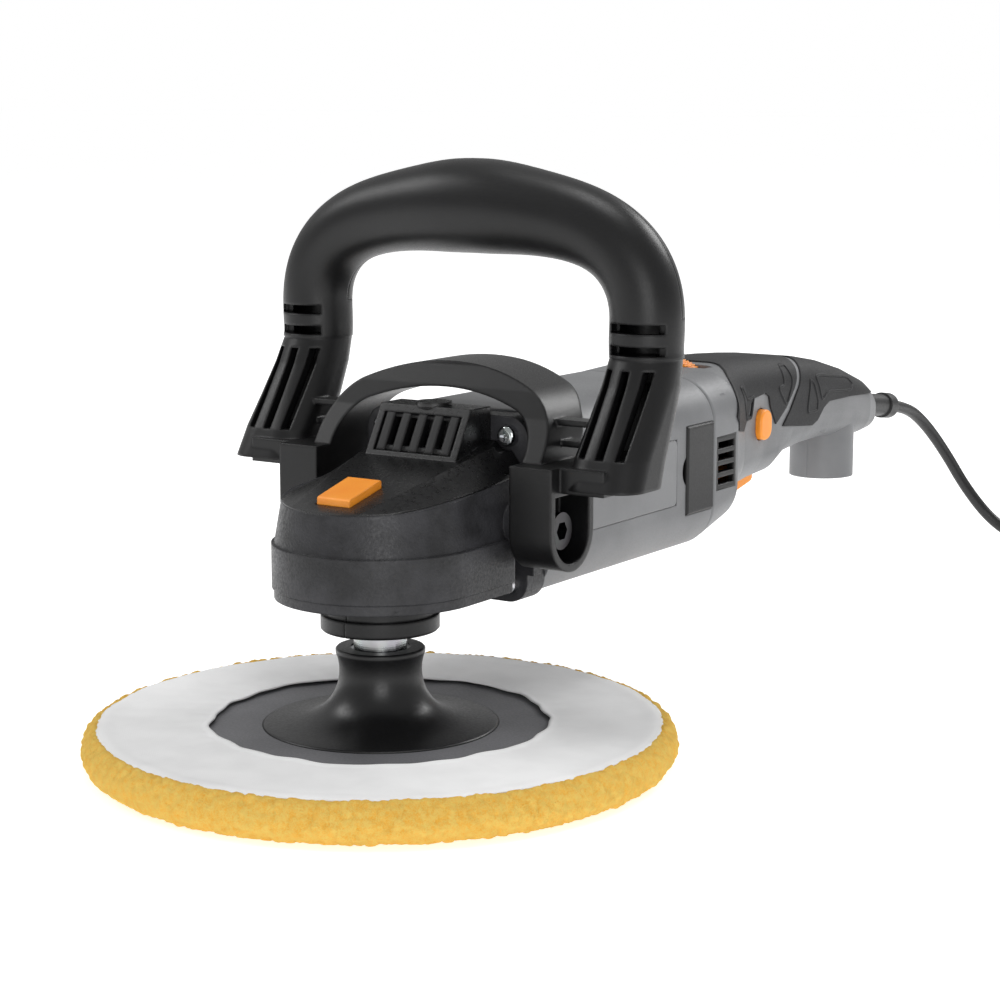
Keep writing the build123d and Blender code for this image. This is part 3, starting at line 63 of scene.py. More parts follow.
def addNode(tree, kind, settings=None, inputs=None):
    # adds one shader node, sets its properties, then its sockets to a value or the (node, output) feeding it
    node = tree.nodes.new(kind)
    for key, value in (settings or {}).items():
        setattr(node, key, value)
    for key, value in (inputs or {}).items():
        if isinstance(value, tuple) and len(value) == 2 and isinstance(value[0], bpy.types.Node):
            tree.links.new(value[0].outputs[value[1]], node.inputs[key])
        else:
            node.inputs[key].default_value = value
    return node


def newMaterial(name):
    material = bpy.data.materials.new(name)
    material.use_nodes = True
    tree = material.node_tree
    tree.nodes.clear()
    coords = addNode(tree, "ShaderNodeTexCoord")
    return material, tree, (coords, "Object")


def closeMaterial(tree, shaderInputs):
    shader = addNode(tree, "ShaderNodeBsdfPrincipled", inputs=shaderInputs)
    addNode(tree, "ShaderNodeOutputMaterial", inputs={"Surface": (shader, "BSDF")})


# Moulded and coated finishes. grainMm is the size of the surface grain, depthMm how deep it is, mottleMm the
# size of the slow changes in tone that a moulding has, and spread how much the roughness changes with the
# grain. edgeMm is the radius that the mould leaves on edges, and shine under 0.5 is a surface that scatters
# its highlight.
mouldedFinishes = {
    # black glass-filled nylon, spark-eroded mould: even dull sheen with a fine grain
    "nylonBlackSatin": {"colour": "#121213", "darker": "#0D0D0E", "roughness": 0.38, "spread": 0.08,
                        "grainMm": 0.5, "depthMm": 0.015, "mottleMm": 22, "edgeMm": 1.3, "shine": 0.36,
                        "ior": 1.53},
    # polished black ABS: smooth, small sharp highlights
    "absBlackGloss": {"colour": "#0E0E0F", "darker": "#0A0A0B", "roughness": 0.30, "spread": 0.05,
                      "grainMm": 1.6, "depthMm": 0.006, "mottleMm": 30, "ior": 1.54},
    # grey glass-filled nylon: slightly open grain and pale flow marks
    "nylonGrey": {"colour": "#77787A", "darker": "#6C6D6F", "roughness": 0.46, "spread": 0.08,
                  "grainMm": 0.55, "depthMm": 0.025, "mottleMm": 26, "ior": 1.53},
    # grey ABS label panel: flatter and smoother than the shell round it
    "absPanelGrey": {"colour": "#77787A", "darker": "#6D6E70", "roughness": 0.36, "spread": 0.05,
                     "grainMm": 0.7, "depthMm": 0.01, "mottleMm": 30, "ior": 1.54},
    # orange ABS for the controls
    "absOrange": {"colour": "#FFA030", "darker": "#FB9526", "roughness": 0.40, "spread": 0.06,
                  "grainMm": 0.5, "depthMm": 0.015, "mottleMm": 14, "ior": 1.54},
    # black thermoplastic elastomer overmould: matte, soft grain
    "elastomerBlack": {"colour": "#1C1C1E", "darker": "#161618", "roughness": 0.60, "spread": 0.08,
                       "grainMm": 0.6, "depthMm": 0.03, "mottleMm": 18, "shine": 0.36, "ior": 1.5},
    # black PVC of cord, plug and strain relief
    "pvcBlack": {"colour": "#141415", "darker": "#0F0F10", "roughness": 0.45, "spread": 0.07,
                 "grainMm": 0.8, "depthMm": 0.02, "mottleMm": 20, "ior": 1.53},
    # grey polyurethane backing plate, cast
    "polyurethaneGrey": {"colour": "#6B6B6E", "darker": "#616164", "roughness": 0.5, "spread": 0.08,
                         "grainMm": 0.9, "depthMm": 0.02, "mottleMm": 25, "ior": 1.5},
    # black polyurethane hub: smooth with wide soft highlights
    "polyurethaneBlack": {"colour": "#151516", "darker": "#101011", "roughness": 0.34, "spread": 0.06,
                          "grainMm": 0.9, "depthMm": 0.012, "mottleMm": 25, "ior": 1.5},
    # die-cast aluminium under a dark wrinkle powder coat: coarse pebbled grain that sparkles
    "powderCoatCharcoal": {"colour": "#343437", "darker": "#1E1E20", "roughness": 0.43, "spread": 0.14,
                           "grainMm": 0.95, "depthMm": 0.11, "mottleMm": 14, "shine": 0.36, "ior": 1.52},
    # green epoxy board with its solder mask
    "solderMaskGreen": {"colour": "#1C5A36", "darker": "#154829", "roughness": 0.3, "spread": 0.05,
                        "grainMm": 1.2, "depthMm": 0.02, "mottleMm": 6, "ior": 1.55},
    # pressed carbon brush: dead matte black
    "carbonBlock": {"colour": "#1F1F20", "darker": "#171718", "roughness": 0.8, "spread": 0.1,
                    "grainMm": 0.4, "depthMm": 0.03, "mottleMm": 4, "ior": 1.5},
}


def mouldedMaterial(name, look):
    # colour and roughness drift slowly over the part; the grain is a shallow bump
    material, tree, place = newMaterial(name)
    slow = addNode(tree, "ShaderNodeTexNoise", inputs={"Vector": place, "Scale": 1 / (look["mottleMm"] * mm),
                                                       "Detail": 3.0, "Roughness": 0.55})
    fine = addNode(tree, "ShaderNodeTexNoise", inputs={"Vector": place, "Scale": 1 / (look["grainMm"] * mm),
                                                       "Detail": 2.0, "Roughness": 0.6})
    tone = addNode(tree, "ShaderNodeMapRange", inputs={"Value": (slow, "Fac"),
                                                       "From Min": 0.35, "From Max": 0.65})
    colour = addNode(tree, "ShaderNodeMix", {"data_type": "RGBA"}, {0: (tone, "Result"),
                     6: linearColour(look["darker"]), 7: linearColour(look["colour"])})
    rough = addNode(tree, "ShaderNodeMapRange", inputs={
        "Value": (fine, "Fac"), "From Min": 0.3, "From Max": 0.7,
        "To Min": look["roughness"] - look["spread"], "To Max": look["roughness"] + look["spread"]})
    edges = addNode(tree, "ShaderNodeBevel", {"samples": 6}, {"Radius": look.get("edgeMm", 0.8) * mm})
    bump = addNode(tree, "ShaderNodeBump", inputs={"Height": (fine, "Fac"), "Distance": look["depthMm"] * mm,
                                                   "Strength": 1.0, "Normal": (edges, "Normal")})
    closeMaterial(tree, {"Base Color": (colour, 2), "Roughness": (rough, "Result"),
                         "Normal": (bump, "Normal"), "IOR": look["ior"],
                         "Specular IOR Level": look.get("shine", 0.5)})
    return material


# Metals. lineMm is the spacing of the tool marks and lineAxis the direction they step along
metalFinishes = {
    # turned and ground steel: fine rings round the axis
    "turnedSteel": {"colour": "#B9BABC", "roughness": 0.27,
                    "lineMm": 0.7, "lineAxis": "Z", "depthMm": 0.012},
    # nickel-plated screw: bright, few marks
    "nickelPlate": {"colour": "#C9CACC", "roughness": 0.16,
                    "lineMm": 1.1, "lineAxis": "X", "depthMm": 0.004},
    # black-oxide cap screw: dark, with a dull shine on its edges
    "blackOxideSteel": {"colour": "#4A4A4C", "roughness": 0.32,
                        "lineMm": 1.0, "lineAxis": "X", "depthMm": 0.006},
    # case-hardened gear steel with a film of grease
    "hardenedSteel": {"colour": "#8E8C87", "roughness": 0.30,
                      "lineMm": 0.8, "lineAxis": "DIAGONAL", "depthMm": 0.01},
    # stack of varnished electrical steel sheets, 0.5 mm each, drawn at 1 mm
    "laminatedSteel": {"colour": "#6A6B6E", "roughness": 0.45,
                       "lineMm": 1.0, "lineAxis": "Y", "depthMm": 0.12},
    # enamelled copper wire, wound side by side, drawn at 1.1 mm
    "enamelledCopper": {"colour": "#B56A3A", "roughness": 0.32,
                        "lineMm": 1.1, "lineAxis": "X", "depthMm": 0.3},
    # brass pressings and pins, lightly rubbed
    "brightBrass": {"colour": "#C9A55A", "roughness": 0.25,
                    "lineMm": 0.9, "lineAxis": "Y", "depthMm": 0.008},
}


def metalMaterial(name, look):
    # tool marks are bands along one axis, broken up by noise so that no two look alike
    material, tree, place = newMaterial(name)
    bands = addNode(tree, "ShaderNodeTexWave", {"wave_type": "BANDS", "bands_direction": look["lineAxis"]},
                    {"Vector": place, "Scale": waveBand / (look["lineMm"] * mm),
                     "Distortion": 0.6, "Detail": 2.0})
    stains = addNode(tree, "ShaderNodeTexNoise", inputs={"Vector": place, "Scale": 120.0, "Detail": 4.0})
    colour = addNode(tree, "ShaderNodeMix", {"data_type": "RGBA", "blend_type": "MULTIPLY"}, {
        0: 0.25, 6: linearColour(look["colour"]), 7: (stains, "Color")})
    rough = addNode(tree, "ShaderNodeMapRange", inputs={
        "Value": (stains, "Fac"), "To Min": look["roughness"] - 0.07, "To Max": look["roughness"] + 0.09})
    bump = addNode(tree, "ShaderNodeBump", inputs={"Height": (bands, "Fac"), "Distance": look["depthMm"] * mm,
                                                   "Strength": 0.8})
    closeMaterial(tree, {"Base Color": (colour, 2), "Metallic": 1.0, "Roughness": (rough, "Result"),
                         "Normal": (bump, "Normal")})
    return material


# Fabrics. clumpMm and fibreMm are the sizes of the wool's clumps and fibres, threadMm the spacing of the
# cloth's threads, which are drawn about twice as coarse as they are so that they show.
woolLook = {"tip": "#FFD970", "root": "#FFB634", "clumpMm": 2.6, "fibreMm": 0.45, "depthMm": 0.7,
            "sheen": 0.9}
clothLook = {"colour": "#F2F2F2", "shade": "#ECECEC", "threadMm": 0.8, "depthMm": 0.05}


def woolMaterial(name, look):
    # cut wool pile: pale soft tips over deeper yellow roots, no highlight, a halo of loose fibres
    material, tree, place = newMaterial(name)
    clumps = addNode(tree, "ShaderNodeTexNoise", inputs={"Vector": place, "Scale": 1 / (look["clumpMm"] * mm),
                                                         "Detail": 4.0, "Roughness": 0.7})
    fibres = addNode(tree, "ShaderNodeTexNoise", inputs={"Vector": place, "Scale": 1 / (look["fibreMm"] * mm),
                                                         "Detail": 3.0, "Roughness": 0.75})
    both = addNode(tree, "ShaderNodeMath", {"operation": "ADD"}, {0: (clumps, "Fac"), 1: (fibres, "Fac")})
    tone = addNode(tree, "ShaderNodeMapRange", inputs={"Value": (both, "Value"),
                                                       "From Min": 0.72, "From Max": 1.15})
    colour = addNode(tree, "ShaderNodeMix", {"data_type": "RGBA"}, {0: (tone, "Result"),
                     6: linearColour(look["root"]), 7: linearColour(look["tip"])})
    bump = addNode(tree, "ShaderNodeBump", inputs={"Height": (both, "Value"), "Strength": 1.0,
                                                   "Distance": look["depthMm"] * mm})
    closeMaterial(tree, {"Base Color": (colour, 2), "Roughness": 0.95, "Normal": (bump, "Normal"),
                         "Sheen Weight": look["sheen"], "Sheen Roughness": 0.4,
                         "Sheen Tint": linearColour(look["tip"])})
    return material


def clothMaterial(name, look):
    # plain-woven polyester backing: two crossed sets of threads
    material, tree, place = newMaterial(name)
    scale = waveBand / (look["threadMm"] * mm)
    warp = addNode(tree, "ShaderNodeTexWave", {"bands_direction": "X"}, {"Vector": place, "Scale": scale,
                                                                         "Distortion": 0.4})
    weft = addNode(tree, "ShaderNodeTexWave", {"bands_direction": "Y"}, {"Vector": place, "Scale": scale,
                                                                         "Distortion": 0.4})
    weave = addNode(tree, "ShaderNodeMath", {"operation": "MAXIMUM"}, {0: (warp, "Fac"), 1: (weft, "Fac")})
    soft = addNode(tree, "ShaderNodeTexNoise", inputs={"Vector": place, "Scale": 60.0, "Detail": 4.0})
    tone = addNode(tree, "ShaderNodeMapRange", inputs={"Value": (soft, "Fac"),
                                                       "From Min": 0.35, "From Max": 0.6})
    colour = addNode(tree, "ShaderNodeMix", {"data_type": "RGBA"}, {0: (tone, "Result"),
                     6: linearColour(look["shade"]), 7: linearColour(look["colour"])})
    bump = addNode(tree, "ShaderNodeBump", inputs={"Height": (weave, "Value"), "Strength": 0.7,
                                                   "Distance": look["depthMm"] * mm})
    closeMaterial(tree, {"Base Color": (colour, 2), "Roughness": 0.88, "Normal": (bump, "Normal"),
                         "Sheen Weight": 0.2, "Sheen Roughness": 0.5})
    return material


materials = {name: mouldedMaterial(name, look) for name, look in mouldedFinishes.items()}
materials.update({name: metalMaterial(name, look) for name, look in metalFinishes.items()})
materials["woolPile"] = woolMaterial("woolPile", woolLook)
materials["polyesterCloth"] = clothMaterial("polyesterCloth", clothLook)
print("materials made:", len(materials))

# which finish each of the record's slots gets
slotFinish = {
    "wool_pile": "woolPile", "bonnet_cloth": "polyesterCloth", "plate_grey": "polyurethaneGrey",
    "hub_black": "polyurethaneBlack", "steel": "turnedSteel", "gear_steel": "hardenedSteel",
    "cast_black": "powderCoatCharcoal", "black_plastic": "nylonBlackSatin", "gloss_black": "absBlackGloss",
    "grey_plastic": "nylonGrey", "panel_grey": "absPanelGrey", "grip_rubber": "elastomerBlack",
    "orange_plastic": "absOrange", "lamination": "laminatedSteel", "copper": "enamelledCopper",
    "carbon": "carbonBlock", "brass": "brightBrass", "board_green": "solderMaskGreen",
    "cord_black": "pvcBlack",
}
# and the fasteners that differ from their slot
screwFinish = {
    "flange_screws": "nickelPlate", "cap_screws": "nickelPlate", "handle_screws": "blackOxideSteel",
    "loop_screws": "blackOxideSteel", "pivot_bolts": "blackOxideSteel", "pivot_washers": "blackOxideSteel",
}

for row in frame["record"]["subparts"]:
    node = cadNodes[row["node"]]
    finish = screwFinish.get(row["node"], slotFinish[row["material_slot"]])
    node.data.materials.clear()
    node.data.materials.append(materials[finish])
print("frame nodes painted")


def gridFaces(rows, columns, closeRows, closeColumns):
    # quads of a rows x columns grid of points, joined up where a direction closes on itself
    i = np.arange(rows if closeRows else rows - 1)[:, None]
    j = np.arange(columns if closeColumns else columns - 1)[None, :]
    nextI, nextJ = (i + 1) % rows, (j + 1) % columns
    corners = [i * columns + j, nextI * columns + j, nextI * columns + nextJ, i * columns + nextJ]
    return np.stack([np.broadcast_to(c, (i.size, j.size)) for c in corners], axis=-1).reshape(-1, 4)


def meshPiece(name, points, faces, finish, body):
    # points (n, 3) in metres and quads (m, 4) become one smooth-shaded piece riding on a body
    mesh = bpy.data.meshes.new(name)
    mesh.from_pydata(np.asarray(points, dtype=float), [], np.asarray(faces, dtype=int).tolist())
    mesh.validate()
    mesh.shade_smooth()
    piece = bpy.data.objects.new(name, mesh)
    bpy.context.scene.collection.objects.link(piece)
    mesh.materials.append(materials[finish])
    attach(piece, body)
    return piece


def fixNormals(piece):
    # merges doubled points and turns every face outwards
    work = bmesh.new()
    work.from_mesh(piece.data)
    bmesh.ops.remove_doubles(work, verts=work.verts, dist=1e-6)
    bmesh.ops.recalc_face_normals(work, faces=work.faces)
    work.to_mesh(piece.data)
    work.free()
    piece.data.shade_smooth()


def ringAngles(count):
    # count equal steps once round, in radians
    return np.radians(np.linspace(0, 360, count + 1)[:-1])


def tuftField(across, along, acrossCells, seed):
    # Height 0..1 of packed round tufts: for each point, one minus the squared distance to the nearest
    # jittered cell centre, times that tuft's own height. The pattern repeats after acrossCells cells round
    # the bonnet, and after alongCells the other way.
    alongCells, lowestTuft, farAway = 64, 0.55, 9.0
    draw = np.random.default_rng(seed)
    jitterX = draw.random((acrossCells, alongCells))
    jitterY = draw.random((acrossCells, alongCells))
    lift = draw.random((acrossCells, alongCells))
    cellX, cellY = np.floor(across).astype(int), np.floor(along).astype(int)
    nearest = np.full(across.shape, farAway)
    height = np.zeros(across.shape)
    for dx in (-1, 0, 1):
        for dy in (-1, 0, 1):
            ix, iy = (cellX + dx) % acrossCells, (cellY + dy) % alongCells
            gap = (cellX + dx + jitterX[ix, iy] - across) ** 2 + (cellY + dy + jitterY[ix, iy] - along) ** 2
            closer = gap < nearest
            height = np.where(closer, lowestTuft + (1 - lowestTuft) * lift[ix, iy], height)
            nearest = np.where(closer, gap, nearest)
    return height * np.clip(1 - nearest, 0, 1)


# Wool bonnet, in millimetres. The pile bulges at its rim by a round of rimHalf, of which rimArc shows, in
# degrees from straight out. face lists (distance in from the rim, height, how much the tufts stand out).
bonnet = {
    "radius": 98.6, "rimTop": 13.5, "rimHalf": 6.6, "rimLift": 0.4, "rimFoot": 0.9, "rimArc": (72, -84),
    "rimPoints": 30, "firstTuft": 0.45,
    "face": [(8, 0.5, 0.8), (13, 0.3, 0.5), (23.6, 0.3, 0.4), (38.6, 0.3, 0.4), (58.6, 0.3, 0.4),
             (78.6, 0.3, 0.3), (94.6, 0.3, 0.0)],
    "plateGap": 0.3, "lipWidth": 3.0, "lowest": 0.02,
    "tuft": 1.5, "tuftCell": 3.3, "smallCell": 1.5, "smallTuft": 0.7, "around": 900, "seed": 11,
}


def bonnetProfile():
    # Half section of the pile from the cloth's edge over the bulging rim, which is an arc of an ellipse, to
    # the middle of its face, then back under the plate: (radius, height, how much the tufts stand out)
    low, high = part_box("backing_plate")
    plateRadius, plateLow, plateHigh = high[0] / mm, low[2] / mm, high[2] / mm
    turn = np.radians(np.linspace(*bonnet["rimArc"], bonnet["rimPoints"]))
    rimMiddle = bonnet["rimTop"] / 2 + bonnet["rimLift"]
    rim = np.stack([bonnet["radius"] - bonnet["rimHalf"] + bonnet["rimHalf"] * np.cos(turn),
                    rimMiddle + (rimMiddle - bonnet["rimFoot"]) * np.sin(turn),
                    np.clip(np.arange(turn.size) / 2 + bonnet["firstTuft"], 0, 1)], axis=1)
    face = np.array([(bonnet["radius"] - inward, height, free) for inward, height, free in bonnet["face"]])
    gap, middle = bonnet["plateGap"], face[-1, 0]
    inside = np.array([[middle, plateLow - gap, 0], [plateRadius + gap, plateLow - gap, 0],
                       [plateRadius + gap, plateHigh - gap, 0],
                       [plateRadius + bonnet["lipWidth"], plateHigh - gap, 0]])
    return np.concatenate([rim, face, inside])


def makeBonnet():
    # The half section turned once round the spindle, with two sizes of tuft standing out along its normal
    profile = bonnetProfile()
    angle = np.linspace(0, 2 * np.pi, bonnet["around"], endpoint=False)
    run = np.concatenate([[0], np.cumsum(np.hypot(*np.diff(profile[:, :2], axis=0).T))])
    a, s = np.meshgrid(angle, run, indexing="ij")
    r, z, free = (np.broadcast_to(profile[:, k], a.shape) for k in range(3))
    cells = int(2 * np.pi * bonnet["radius"] / bonnet["tuftCell"])
    smallCells = int(2 * np.pi * bonnet["radius"] / bonnet["smallCell"])
    tufts = tuftField(a / (2 * np.pi) * cells, s / bonnet["tuftCell"], cells, bonnet["seed"])
    small = tuftField(a / (2 * np.pi) * smallCells, s / bonnet["smallCell"], smallCells, bonnet["seed"] + 1)
    out = free * (bonnet["tuft"] * tufts + bonnet["smallTuft"] * small)
    # the section's outward direction, from its own slope
    slopeR, slopeZ = np.gradient(profile[:, 0], run), np.gradient(profile[:, 1], run)
    size = np.hypot(slopeR, slopeZ)
    r = r + out * (-slopeZ / size)
    z = np.maximum(z + out * (slopeR / size), bonnet["lowest"])
    points = np.stack([r * np.cos(a), r * np.sin(a), z], axis=-1).reshape(-1, 3) * mm
    faces = gridFaces(angle.size, run.size, True, True)
    piece = meshPiece("woolBonnet", points, faces, "woolPile", "pad_drive")
    fixNormals(piece)
    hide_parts("bonnet_pile")


# Cloth backing of the bonnet, in millimetres. Places and lengths along it are shares of the way from the
# opening to the rim. wander lists (reach, waves once round, start) of the opening's uneven edge.
cloth = {
    "inner": 56.5, "outer": 95.0, "thickness": 0.5, "around": 720, "across": 48, "lift": 0.9,
    "wander": [(0.7, 5, 0.4), (0.5, 11, 2.0), (0.35, 23, 0.0)],
    "hem": 0.5, "hemAt": 0.02, "hemWidth": 0.03,
    "tuck": 0.5, "tuckAt": 0.93, "tuckWidth": 0.07,
    "puckers": 0.16, "puckersLeft": 0.35, "puckerReach": 0.35, "puckerStart": 0.08,
    "mainFolds": 31, "foldGroups": 7, "smallFolds": 53, "smallShare": 0.6,
    "ripple": 0.10, "ripples": 17,
}


def makeCloth():
    # Flat ring stretched over the plate. Its height is a low roll at the hem, a tuck under the pile at the
    # rim, and pucker folds that run outwards from the drawn-in opening: one sine for the folds times a slower
    # one that gathers them in groups, and a finer sine that leans the other way
    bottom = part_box("backing_plate")[1][2] / mm
    angle = np.linspace(0, 2 * np.pi, cloth["around"], endpoint=False)
    share = np.linspace(0, 1, cloth["across"])
    a, t = np.meshgrid(angle, share, indexing="ij")
    wander = sum(reach * np.sin(waves * a + start) for reach, waves, start in cloth["wander"])
    r = cloth["inner"] + (cloth["outer"] - cloth["inner"]) * t + wander * (1 - t) ** 3
    folds = np.sin(cloth["mainFolds"] * a + 3 * t) * np.sin(cloth["foldGroups"] * a + 1.3)
    folds = folds + cloth["smallShare"] * np.sin(cloth["smallFolds"] * a + 1.1 - 4 * t)
    left = cloth["puckersLeft"]
    fade = left + (1 - left) * np.exp(-t / cloth["puckerReach"])
    puckers = cloth["puckers"] * folds * fade * np.clip(t / cloth["puckerStart"], 0, 1)
    ripple = cloth["ripple"] * np.sin(cloth["ripples"] * a + 9 * t)
    hem = cloth["hem"] * np.exp(-((t - cloth["hemAt"]) / cloth["hemWidth"]) ** 2)
    tuck = cloth["tuck"] * np.exp(-((t - cloth["tuckAt"]) / cloth["tuckWidth"]) ** 2)
    height = cloth["lift"] + hem + puckers + ripple + tuck
    points = np.stack([r * np.cos(a), r * np.sin(a), bottom + height], axis=-1).reshape(-1, 3) * mm
    piece = meshPiece("clothBacking", points, gridFaces(angle.size, share.size, True, False),
                      "polyesterCloth", "pad_drive")
    fixNormals(piece)
    wall = piece.modifiers.new("thickness", "SOLIDIFY")
    wall.thickness = cloth["thickness"] * mm
    wall.offset = 0
    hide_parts("bonnet_cloth")


makeBonnet()
makeCloth()
print("bonnet made")


# Grip outlines moulded into the rubber, in millimetres. gripSections are the handle's sections from the
# motor to the gland, as the CAD has them: (y, half width, top, corner radius).
gripSections = np.array([
    (166.3, 36.0, 114.5, 17.0), (188.0, 35.4, 115.4, 17.0), (198.0, 30.0, 115.9, 16.0),
    (214.0, 24.8, 116.0, 15.0), (235.0, 22.5, 115.3, 14.5), (252.0, 21.5, 114.2, 14.0),
    (266.0, 20.5, 113.0, 13.5), (290.0, 19.0, 110.2, 13.0), (312.0, 17.6, 106.6, 12.5),
    (335.0, 16.6, 101.2, 12.0), (355.0, 15.4, 94.8, 11.0), (367.0, 12.6, 89.4, 8.5),
])
# Each outline is a closed run of (y, height) points in side view, and stands on both cheeks
gripOutlines = {
    "gripOutlineA": [(205.5, 106.5), (208.0, 107.2), (215.0, 100.8), (222.0, 101.6), (219.5, 93.2),
                     (214.5, 93.0), (211.0, 99.0)],
    "gripOutlineB": [(257.5, 110.2), (263.5, 110.4), (264.5, 104.0), (257.0, 93.6), (248.5, 102.0),
                     (254.5, 102.6)],
    "gripOutlineC": [(283.5, 102.2), (287.0, 100.4), (292.0, 92.0), (291.0, 87.6), (280.0, 88.2)],
    "gripOutlineD": [(290.0, 103.6), (330.0, 98.6), (333.5, 95.0), (329.0, 92.6), (303.0, 95.0),
                     (296.5, 91.6)],
}
outlineLook = {"width": 1.5, "height": 0.55, "proud": 0.45, "pointsPerMm": 1.2, "cornerPull": 0.22,
               "bendPoints": 9, "sectionPoints": 8}


def gripHalfWidth(y, z, proud):
    # sideways reach of the rubber at a station and height: the section's half width, less the round of its
    # corner above the corner's centre
    halfWidth, top, corner = (np.interp(y, gripSections[:, 0], gripSections[:, k]) for k in (1, 2, 3))
    over = np.clip(z - (top - corner), 0, corner)
    return halfWidth - corner + np.sqrt(np.maximum((corner + proud) ** 2 - over ** 2, 0))


def roundedLoop(corners):
    # closed loop along a polygon's edges, with a parabola round each corner that starts and ends a share
    # cornerPull of the edge away from it
    corners = np.asarray(corners, dtype=float)
    before, after = np.roll(corners, 1, axis=0), np.roll(corners, -1, axis=0)
    size = np.linalg.norm(after - corners, axis=1)
    pull = outlineLook["cornerPull"]
    start, end = corners + (before - corners) * pull, corners + (after - corners) * pull
    t = np.linspace(0, 1, outlineLook["bendPoints"])[None, :, None]
    bends = (1 - t) ** 2 * start[:, None] + 2 * t * (1 - t) * corners[:, None] + t ** 2 * end[:, None]
    nextStart = np.roll(start, -1, axis=0)
    along = np.linspace(0, 1, int(outlineLook["pointsPerMm"] * size.max()))[None, 1:-1, None]
    runs = end[:, None] + (nextStart - end)[:, None] * along
    return np.concatenate([bends, runs], axis=1).reshape(-1, 2)


def makeGripOutlines():
    # each outline is a low rounded ridge: a flattened round section carried along the loop on the rubber
    section = ringAngles(outlineLook["sectionPoints"])
    for name, corners in gripOutlines.items():
        loop = roundedLoop(corners)
        tangent = np.roll(loop, -1, axis=0) - np.roll(loop, 1, axis=0)
        tangent /= np.linalg.norm(tangent, axis=1)[:, None]
        normal = np.stack([-tangent[:, 1], tangent[:, 0]], axis=1)
        across = outlineLook["width"] / 2 * np.cos(section)
        rise = outlineLook["height"] * np.sin(section)
        flat = loop[:, None, :] + normal[:, None, :] * across[None, :, None]
        for side, sideName in ((1, "Left"), (-1, "Right")):
            proud = outlineLook["proud"] + rise[None, :] + 0 * flat[..., 0]
            x = side * gripHalfWidth(flat[..., 0], flat[..., 1], proud)
            points = np.stack([x, flat[..., 0], flat[..., 1]], axis=-1).reshape(-1, 3) * mm
            piece = meshPiece(name + sideName, points, gridFaces(len(loop), section.size, True, True),
                              "elastomerBlack", "tool")
            fixNormals(piece)


makeGripOutlines()
print("grip outlines made")


# Slot line on the hood behind the lock button, in millimetres. slope is the hood's rise towards the motor,
# and drop the height of the button's top over the hood. A larger endPower gives squarer ends.
hoodSlot = {"halfWidth": 7.2, "behindButton": 3.0, "width": 0.7, "sink": 0.12, "slope": 0.243, "drop": 2.4,
            "flatness": 0.35, "endPower": 8, "steps": 24, "sectionPoints": 8}


def makeHoodSlot():
    # A thin dark inlay laid on the slope of the hood: a flat round section carried across, whose width is
    # the root of one minus a high power of the distance from the middle, so that its ends are rounded
    high = np.array(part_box("spindle_lock_button")[1]) / mm
    slope = hoodSlot["slope"]
    y = high[1] + hoodSlot["behindButton"]
    x = np.linspace(-hoodSlot["halfWidth"], hoodSlot["halfWidth"], hoodSlot["steps"])
    across = ringAngles(hoodSlot["sectionPoints"])
    ends = (x / hoodSlot["halfWidth"]) ** hoodSlot["endPower"]
    taper = np.sqrt(np.clip(1 - ends, 0, 1)) * hoodSlot["width"]
    top = high[2] - hoodSlot["drop"] + slope * hoodSlot["behindButton"]
    offset = taper[:, None] * np.cos(across)[None, :]
    lift = hoodSlot["flatness"] * taper[:, None] * np.sin(across)[None, :] - hoodSlot["sink"]
    x = np.broadcast_to(x[:, None], offset.shape)
    points = np.stack([x, y + offset, top + slope * offset + lift], axis=-1).reshape(-1, 3) * mm
    piece = meshPiece("hoodSlot", points, gridFaces(*offset.shape, False, True),
                      "absBlackGloss", "tool")
    fixNormals(piece)


makeHoodSlot()
print("hood slot made")


# Mains cord, in millimetres and degrees
cordShape = {
    "diameter": 5.6,
    # route from the strain relief down to the floor and over to the coil, in millimetres
    "route": [(0.0, 409.5, 75.8), (0.0, 430.0, 73.1), (2.0, 449.0, 63.0), (7.0, 464.0, 47.0),
              (14.0, 475.0, 28.0), (26.0, 482.0, 11.0), (44.0, 481.0, 2.8), (62.0, 470.0, 2.8)],
    "coilCentre": (98.0, 432.0), "innerTurn": 24.8, "outerTurn": 39.3, "layers": (2.8, 8.6, 14.4),
    "turnsPerLayer": 2.75, "pointsPerTurn": 16, "startAngle": 121.0,
    # the loose end rises by leaveLift over the top turns, out to leaveRadius at leaveAngle, and drops into
    # the plug's tail
    "leaveAngle": 22.0, "leaveStep": 22.5, "leaveRadius": 33.0, "leaveLift": 6.0, "leaveHurry": 1.6,
    "lead": [(130.0, 424.0, 20.3), (130.4, 414.0, 19.0), (130.2, 406.0, 15.0), (130.0, 400.5, 13.4),
             (130.0, 396.5, 13.2)],
}


def coilPoints():
    # Turns of the put-away cord, clockwise from above: a flat spiral inwards on the floor, one back outwards
    # on top of it, and a third inwards again, with a quarter turn to climb each time
    step = 360 / cordShape["pointsPerTurn"]
    count = int(cordShape["turnsPerLayer"] * cordShape["pointsPerTurn"])
    climb = cordShape["pointsPerTurn"] // 4
    inner, outer = cordShape["innerTurn"], cordShape["outerTurn"]
    radius, height = [], []
    for number, level in enumerate(cordShape["layers"]):
        ends = (outer, inner) if number % 2 == 0 else (inner, outer)
        if number:
            radius.append(np.full(climb, ends[0]))
            height.append(np.linspace(cordShape["layers"][number - 1], level, climb + 2)[1:-1])
        radius.append(np.linspace(*ends, count))
        height.append(np.full(count, level))
    radius, height = np.concatenate(radius), np.concatenate(height)
    angle = np.radians(cordShape["startAngle"] - step * np.arange(radius.size))
    centreX, centreY = cordShape["coilCentre"]
    return np.stack([centreX + radius * np.cos(angle), centreY + radius * np.sin(angle), height], axis=1)


